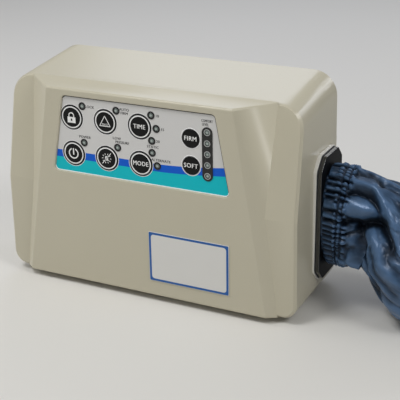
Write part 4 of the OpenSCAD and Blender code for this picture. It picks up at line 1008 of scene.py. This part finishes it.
def cloth_height(s, a):
    """How far the cloth stands out, in millimetres, at way s along the sleeve and angle a round it (0 is the
    top, a quarter turn is the front)."""
    wander = a + 0.03 * np.sin(3 * a + 0.6) + 0.02 * np.sin(7 * a + 2.1)
    # Deep pleats between the plate and the elastic, each lapped downwards over the next
    gathered = rise(s, 0, 2.5) * (1 - rise(s, 19, 27))
    lean = 0.002 * (s - 8)
    groove = np.zeros(s.shape)
    for k, crease in enumerate(PLEATS):
        away = (a - crease - lean + math.pi) % math.tau - math.pi
        reach = np.where(away > 0, 0.075, 0.03)
        depth = 4.9 + 0.9 * math.sin(2.4 * k)
        groove = np.maximum(groove, depth * np.exp(-(np.abs(away) / reach) ** 1.15))
    h = (2.6 - groove) * gathered
    # Elastic threads that pull the cloth into small ruffles, staggered from row to row
    for k, row in enumerate(ELASTIC):
        place = elastic_way(row, a)
        h = h - 1.1 * bump(s, place, 0.8)
        curl = 2.0 + 2.4 * pillow(4.3 * a + 1.7 * k, 0.7)
        ruffle = pillow(29 * wander + 1.3 * k + 0.5 * np.sin(13 * a + k), 0.7) - 0.5
        h = h + curl * bump(s, place - 1.9, 1.6) * ruffle
    last = elastic_way(ELASTIC[-1], a)
    curl = 2.0 + 2.4 * pillow(3.7 * a + 0.6, 0.7)
    h = h + curl * bump(s, last + 2.4, 2.1) * (pillow(25 * wander + 0.4 + 0.5 * np.sin(11 * a), 0.7) - 0.5)
    h = h + 1.6 * bump(s, last + 5.0, 4.0) * (pillow(14 * wander + 0.9, 0.8) - 0.6)
    # The folds of the kink, each along its own line
    for fold in FOLDS:
        h = h + fold_height(s, a, *fold) * rise(s, 16, 21)
    # Round the back and along the floor: long folds, then slow creases across
    away = 1 - bump(a, 1.2, 1.3) * (1 - rise(s, 100, 130))
    h = h + away * 2.6 * rise(s, 30, 70) * (pillow(2.5 * wander - 0.011 * s + 0.2, 1.0) - 0.65)
    h = h + away * 1.2 * rise(s, 40, 70) * (pillow(6 * wander + 0.03 * s + 1.5, 1.0) - 0.6)
    h = h + 2.2 * rise(s, 120, 190) * (pillow(0.052 * s + 1.3 * np.sin(a + 0.4), 0.9) - 0.7)
    front = bump(a, 1.5, 1.0) * (1 - rise(s, 100, 130))
    return h + np.vectorize(crumple)(s, a) * (0.15 + 0.75 * rise(s, 22, 60) * (1 - 0.55 * front))


def in_creases(height, reach):
    """How deep each point of the cloth lies among its neighbours: below 0 in a crease, above 0 on a crest."""
    around = height
    for _ in range(2):
        around = sum(np.roll(around, k, axis=1) for k in range(-reach, reach + 1)) / (2 * reach + 1)
        padded = np.pad(around, ((reach, reach), (0, 0)), mode="edge")
        around = sum(padded[k:k + len(height)] for k in range(2 * reach + 1)) / (2 * reach + 1)
    return height - around


def sleeve_material():
    """Nylon cloth with a polyurethane coat: navy, with painted highlight making its crests paler and painted
    shade making its creases darker, glossier on its crests and duller in its creases, with a fine plain weave."""
    material, tree, cloth = new_material("coated navy nylon cloth", 0.36, 0.0, 0.12, 1.5, "cloth", {
        "Sheen Weight": 0.12, "Sheen Roughness": 0.35, "Sheen Tint": colour("#A9BBD3"),
        "Specular IOR Level": 0.75, "Specular Tint": colour("#AFC4E4"), "Coat Roughness": 0.2})
    painted_light_and_shade = add_node(tree, "Attribute", attribute_name="crest").outputs["Fac"]
    patches = add_node(tree, "TexNoise", {"Scale": 45.0, "Detail": 4.0}, {"Vector": cloth})
    ramp = add_node(tree, "ValToRGB", {}, {"Fac": painted_light_and_shade})
    tone = colours().sleeve
    # Painted shade and highlight: a darkened copy of the navy in the creases, a lightened copy on the crests
    stops = ramp.color_ramp.elements
    stops[0].position = 0.1
    stops[0].color = shaded(tone, 0.13)
    stops[1].position = 0.85
    stops[1].color = shaded(tone, 3.0, 0.03)
    stops.new(0.48).color = list(tone)
    add_node(tree, "Mix", {0: 0.3}, {6: ramp.outputs[0], 7: patches.outputs[0]},
             {2: "Base Color"}, data_type="RGBA", blend_type="MULTIPLY")
    add_node(tree, "MapRange", {"To Min": 0.55, "To Max": 0.3}, {"Value": painted_light_and_shade},
             {0: "Roughness"})
    # Threads are about 0.4 mm apart; drawn at 1 mm, so that the weave shows
    warp, weft = (add_node(tree, "TexWave", {"Scale": wave_scale(1.0)}, {"Vector": cloth},
                           bands_direction=along).outputs[1] for along in "XY")
    weave = add_node(tree, "Math", {}, {0: warp, 1: weft}, operation="MULTIPLY")
    fine = add_node(tree, "Bump", {"Strength": 0.35, "Distance": 0.00006}, {"Height": weave.outputs[0]})
    crinkle = add_node(tree, "TexNoise", {"Scale": 150.0, "Detail": 3.0, "Distortion": 0.6},
                       {"Vector": cloth})
    add_node(tree, "Bump", {"Strength": 0.45, "Distance": 0.0008},
             {"Height": crinkle.outputs[0], "Normal": fine.outputs[0]}, {0: "Normal"})
    return material


class PUMP_OT_sleeve(bpy.types.Operator):
    """Navy sleeve over the air hoses: pleated onto the outlet, kinked, draped and laid along the floor"""
    bl_idname = "pump.sleeve"
    bl_label = "Hose sleeve"

    def execute(self, context):
        fine = smooth_line(SLEEVE, 0.5)
        way = np.concatenate([[0], np.cumsum(np.linalg.norm(np.diff(fine[:, :3], axis=0), axis=1))])
        end = way[-1]
        stations = np.concatenate([np.arange(0, 30, 0.6), np.arange(30, 100, 1.0), np.arange(100, 190, 2.0),
                                   np.arange(190, end, 6.0), [end]])

        def on_line(ways):
            return np.array([np.interp(ways, way, column) for column in fine.T]).T

        rows = on_line(stations)
        centre = rows[:, :3]
        ahead = (on_line(np.minimum(stations + 4, end)) - on_line(np.maximum(stations - 4, 0)))[:, :3]
        ahead /= np.linalg.norm(ahead, axis=1)[:, None]
        up = np.array([0, 0, 1.0]) - ahead * ahead[:, 2:3]
        up /= np.linalg.norm(up, axis=1)[:, None]
        side = np.cross(ahead, up)
        angles = np.arange(SLEEVE_SIDES) * math.tau / SLEEVE_SIDES
        s, a = np.meshgrid(stations, angles, indexing="ij")
        height = cloth_height(s, a)
        # The lying stretch spreads into its lower corners
        height = height + 0.12 * rows[:, 4:5] * rise(s, 75, 105) * bump(np.abs(a - math.pi), 0.8, 0.45)
        height = height * rise(s, 0, 2) * (1 - rise(s, end - 3, end))
        out_side = ((rows[:, 3:4] + height) * np.sin(a))[:, :, None]
        out_up = ((rows[:, 4:5] + height) * np.cos(a))[:, :, None]
        points = centre[:, None, :] + out_side * side[:, None, :] + out_up * up[:, None, :]
        points = (points + np.array(CASE_SHIFT)) / 1000
        points[:, :, 2] = np.maximum(points[:, :, 2], ABOVE_FLOOR)

        bpy.ops.mesh.primitive_cylinder_add(vertices=SLEEVE_SIDES, radius=0.05, depth=0.1)
        piece = named("hose_sleeve_cloth")
        mesh = piece.data
        mesh.clear_geometry()
        rings, sides = s.shape
        faces = [[i * sides + j, i * sides + k, (i + 1) * sides + k, (i + 1) * sides + j]
                 for i in range(rings - 1) for j, k in zip(range(sides), [*range(1, sides), 0])]
        faces += [list(range(sides))[::-1], [(rings - 1) * sides + j for j in range(sides)]]
        mesh.from_pydata(points.reshape(-1, 3).tolist(), [], faces)
        mesh.update()
        layer = mesh.uv_layers.new(name="cloth")
        for face in mesh.polygons:
            for loop, vertex in zip(face.loop_indices, face.vertices):
                i, j = divmod(vertex, sides)
                turn = sides if j == 0 and face.index % sides == sides - 1 else j
                layer.data[loop].uv = (turn / sides * CLOTH_ROUND, stations[i] / 1000)
        gathers = 1 - rise(s, 22, 34)
        plain = 1 - 0.8 * rise(s, 110, 170)
        broad = in_creases(height, 12)
        # Painted light and shade, kept as each point's crest value: crests paler and creases darker, the
        # pleated gathers darker all round and darker still on their lower side
        crest = 0.48 + plain * ((0.2 + 0.16 * gathers) * in_creases(height, 3) + 0.09 * broad)
        crest = crest - gathers * (0.14 + 0.14 * bump(a, 2.6, 0.8))
        painted_light_and_shade = mesh.attributes.new("crest", "FLOAT", "POINT")
        painted_light_and_shade.data.foreach_set("value", np.clip(crest, 0, 1).astype(np.float32).ravel())
        mended(piece)
        smooth(piece, 70)
        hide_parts("sleeve_cuff", "hose_sleeve")
        finished(piece, "sleeve_cloth", sleeve_material())

        threads = []
        for row in ELASTIC:
            ring = []
            for j in range(0, SLEEVE_SIDES, 2):
                k = int(np.argmin(np.abs(stations - elastic_way(row, angles[j]))))
                p = points[k][j]
                out = p - np.array(at(*centre[k]))
                ring.append(Vector(p + out / np.linalg.norm(out) * 0.0002))
            threads.append(cord_line("thread", ring, 0.00022, True))
        # Covered elastic thread, sewn along the ruffles: matt, a little darker than the cloth
        thread = finished(joined("sleeve_elastic_threads", threads), "sleeve_cloth", grained(
            "covered elastic thread", "#1D2F4A", 0.6, 0.6, 0.02, 4.0, 0.2))
        # Black nylon plug at the far end, like the connector's plate
        plug = dressed("mattress_connector", "mattress_plug", 0.0008, 3, "connector", grained(
            "black nylon plug", "#15171A", 0.32, 1.2, 0.01, 20.0, 0.12, coat=0.2))
        return {"FINISHED"}


class PUMP_OT_hooks(bpy.types.Operator):
    """Folding hooks and their pins"""
    bl_idname = "pump.hooks"
    bl_label = "Hooks"

    def execute(self, context):
        # Die-cast zinc with a bright nickel plate: soft-edged, slightly mottled
        zinc = grained("nickel plated zinc hook", "#B9BABC", 0.32, 2.5, 0.03, 25.0, 0.05, metallic=1.0)
        steel = grained("turned steel pin", "#9C9DA0", 0.28, 0.5, 0.01, 8.0, 0.06, metallic=1.0)
        for node in ("left_hook", "right_hook"):
            dressed(node, node + "_casting", 0.0009, 3, "hook_metal", zinc)
            dressed(node + "_pin", node + "_pin_turned", 0.0005, 2, "steel", steel)
        return {"FINISHED"}


class PUMP_OT_feet(bpy.types.Operator):
    """Rubber feet with a hollow tread"""
    bl_idname = "pump.feet"
    bl_label = "Feet"

    def execute(self, context):
        rubber = grained("moulded foot rubber", "#2A2A2C", 0.65, 0.9, 0.03, 9.0, 0.12)
        for node in ("front_left_foot", "front_right_foot", "rear_left_foot", "rear_right_foot"):
            low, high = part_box(node)
            centre = ((low.x + high.x) / 2, (low.y + high.y) / 2, 0)
            r = (high.x - low.x) * 500
            top = high.z * 1000
            foot = turned(node + "_rubber", [
                (0, top), (2.6, top), (3, top - 0.4), (3, 6), (r - 0.5, 6), (r, 5.5), (r, 4.6),
                (r - 0.5, 4.2), (r - 0.5, 3.2), (r - 0.7, 0.6), (r - 1.3, 0), (5.2, 0), (4.6, 0.5), (0, 0.7)],
                centre, (0, 0, 1), 48)
            finished(foot, "foot_rubber", rubber, node=node)
        return {"FINISHED"}


class PUMP_OT_back(bpy.types.Operator):
    """Filter cover and foam, mains inlet with its pins, and the case screws"""
    bl_idname = "pump.back"
    bl_label = "Back details"

    def execute(self, context):
        case = bpy.data.materials["moulded ABS case"]
        dressed("filter_cover", "filter_cover_moulding", 0.0004, 2, "filter_grille", case)
        # Open-cell polyurethane foam: dark grey, matt, full of small pores in cells of about 1.5 mm
        node_finish("filter_foam", patterned(
            "open cell filter foam", "TexVoronoi", {"Scale": 1000 / 1.5}, 0,
            (colour("#5A5C5E"), colour("#1E1F20")), (0.8, 0.6), 0.9))
        dressed("power_inlet", "power_inlet_moulding", 0.0005, 2, "black_plastic", grained(
            "black inlet nylon", "#1A1B1D", 0.4, 0.9, 0.015, 12.0, 0.1))
        dressed("inlet_pins", "inlet_pins_plated", 0.0003, 2, "pin_brass", grained(
            "nickel plated brass pin", "#C9C2A6", 0.25, 0.6, 0.006, 6.0, 0.05, metallic=1.0))
        steel = grained("zinc plated screw", "#A9ABAD", 0.34, 0.7, 0.01, 5.0, 0.08, metallic=1.0)
        for node in ("case_screws", "board_screws"):
            dressed(node, node + "_plated", 0.00015, 2, "steel", steel)
        return {"FINISHED"}


def wound_material(name, tone):
    """Enamelled copper wire of 0.9 mm, wound side by side: warm bands with a varnish gloss."""
    light = colour(tone)
    return banded(name, 0.9, 0.6, "Z", (shaded(light, 0.45), light), (0.8, 0.4), 0.32, 0.75, 0.3)


def board_material():
    """Glass-epoxy circuit board under green solder resist, with copper tracks showing through."""
    material, tree, place = new_material("green circuit board", 0.35, 0.0, 0.3)
    turn = add_node(tree, "Mapping", {"Rotation": (math.pi / 2, 0, 0)}, {"Vector": place})
    # Tracks about 2.5 mm apart
    tracks = add_node(tree, "TexBrick", {
        "Color1": colour("#1E5A35"), "Color2": colour("#2A6E42"), "Mortar": colour("#153F26"), "Scale": 1.0,
        "Mortar Size": 0.0003, "Brick Width": 0.012, "Row Height": 0.0025}, {"Vector": turn.outputs[0]},
        {0: "Base Color"}, offset=0.5)
    add_node(tree, "Bump", {"Strength": 0.5, "Distance": 0.00008}, {"Height": tracks.outputs[1]},
             {0: "Normal"})
    return material


class PUMP_OT_insides(bpy.types.Operator):
    """Compressor, rotary valve, transformer, boards and air tubes inside the case"""
    bl_idname = "pump.insides"
    bl_label = "Insides"

    def execute(self, context):
        # The nodes that share a finish, and the finish; what ends in 1 is metal
        for nodes, *finish in (
                ("compressor_frame valve_bracket",
                 "pressed zinc plated steel", "#A8A9AB", 0.36, 1.5, 0.015, 18.0, 0.07, 1),
                ("magnet_shuttle",
                 "nickel plated magnet carrier", "#8F9196", 0.26, 1.0, 0.006, 10.0, 0.06, 1),
                ("compressor_mounts left_diaphragm right_diaphragm",
                 "black moulded rubber", "#1F1F20", 0.7, 0.9, 0.03, 8.0, 0.12),
                ("left_pump_head right_pump_head",
                 "grey moulded pump head", "#9C9B96", 0.48, 1.0, 0.02, 15.0, 0.05),
                ("silencer", "black blow moulded silencer", "#252628", 0.45, 1.6, 0.03, 20.0, 0.1),
                ("head_tubes feed_tube outlet_tubes",
                 "milky silicone tube", "#C6C7C2", 0.4, 1.2, 0.01, 12.0, 0.04),
                ("valve_rotor", "ivory acetal rotor", "#D9D4C4", 0.35, 0.8, 0.006, 8.0, 0.04),
                ("valve_body", "black valve nylon", "#222326", 0.42, 1.0, 0.02, 12.0, 0.1),
                ("board_parts", "black component epoxy", "#2B2C2F", 0.45, 0.8, 0.01, 3.0, 0.3),
                ("key_switches", "black switch body", "#323236", 0.5, 0.6, 0.01, 3.0, 0.15),
                ("valve_motor", "drawn steel motor can", "#9A9CA0", 0.3, 1.8, 0.01, 20.0, 0.05, 1)):
            node_finish(nodes, grained(*finish))
        # Stacked electrical steel, seen on edge: its sheets are 0.5 mm, drawn at 1 mm, so that they show
        node_finish("drive_cores transformer_core", banded(
            "laminated core steel", 1.0, 0.3, "Y", (colour("#3E4045"), colour("#74777D")), (0.5, 0.2), 0.42,
            0.85))
        node_finish("drive_coils", wound_material("enamelled copper drive coil", "#B8683A"))
        node_finish("transformer_winding", wound_material("enamelled copper winding", "#B06A38"))
        node_finish("control_board main_board", board_material())
        # Flat cable of grey PVC: twenty round wires side by side
        node_finish("ribbon_cable", banded(
            "grey flat cable", 1.27, 0.0, "X", (colour("#6E7077"), colour("#A7A9AE")), (0.6, 0.3), 0.5))
        return {"FINISHED"}


class PUMP_PT_panel(bpy.types.Panel):
    """Lists the steps that build the pump"""
    bl_label = "Air mattress pump"
    bl_idname = "PUMP_PT_panel"
    bl_space_type = "VIEW_3D"
    bl_region_type = "UI"
    bl_category = "Pump"

    def draw(self, context):
        for operator in STEPS:
            self.layout.operator(operator.bl_idname)
        for group in (context.scene.pump_sizes, context.scene.pump_colours):
            box = self.layout.box()
            for name in group.bl_rna.properties.keys():
                if name not in ("rna_type", "name"):
                    box.prop(group, name)


STEPS = (PUMP_OT_stage, PUMP_OT_sleeve, PUMP_OT_shells, PUMP_OT_keypad, PUMP_OT_keys, PUMP_OT_lamps,
         PUMP_OT_label, PUMP_OT_outlet, PUMP_OT_hooks, PUMP_OT_feet, PUMP_OT_back, PUMP_OT_insides)
CLASSES = (PumpSizes, PumpColours) + STEPS + (PUMP_PT_panel,)


def register():
    for item in CLASSES:
        bpy.utils.register_class(item)
    bpy.types.Scene.pump_sizes = bpy.props.PointerProperty(type=PumpSizes)
    bpy.types.Scene.pump_colours = bpy.props.PointerProperty(type=PumpColours)


def unregister():
    del bpy.types.Scene.pump_colours
    del bpy.types.Scene.pump_sizes
    for item in reversed(CLASSES):
        bpy.utils.unregister_class(item)


def corners(box):
    """Corners of a box as plain lists of numbers."""
    return [[float(c) for c in corner] for corner in box]


def main():
    register()
    bpy.ops.pump.stage()
    bpy.ops.pump.sleeve()
    bpy.ops.pump.shells()
    bpy.ops.pump.keypad()
    bpy.ops.pump.keys()
    bpy.ops.pump.lamps()
    bpy.ops.pump.label()
    bpy.ops.pump.outlet()
    bpy.ops.pump.hooks()
    bpy.ops.pump.feet()
    bpy.ops.pump.back()
    bpy.ops.pump.insides()
    nothing_selected()


if __name__ == "__main__":
    main()
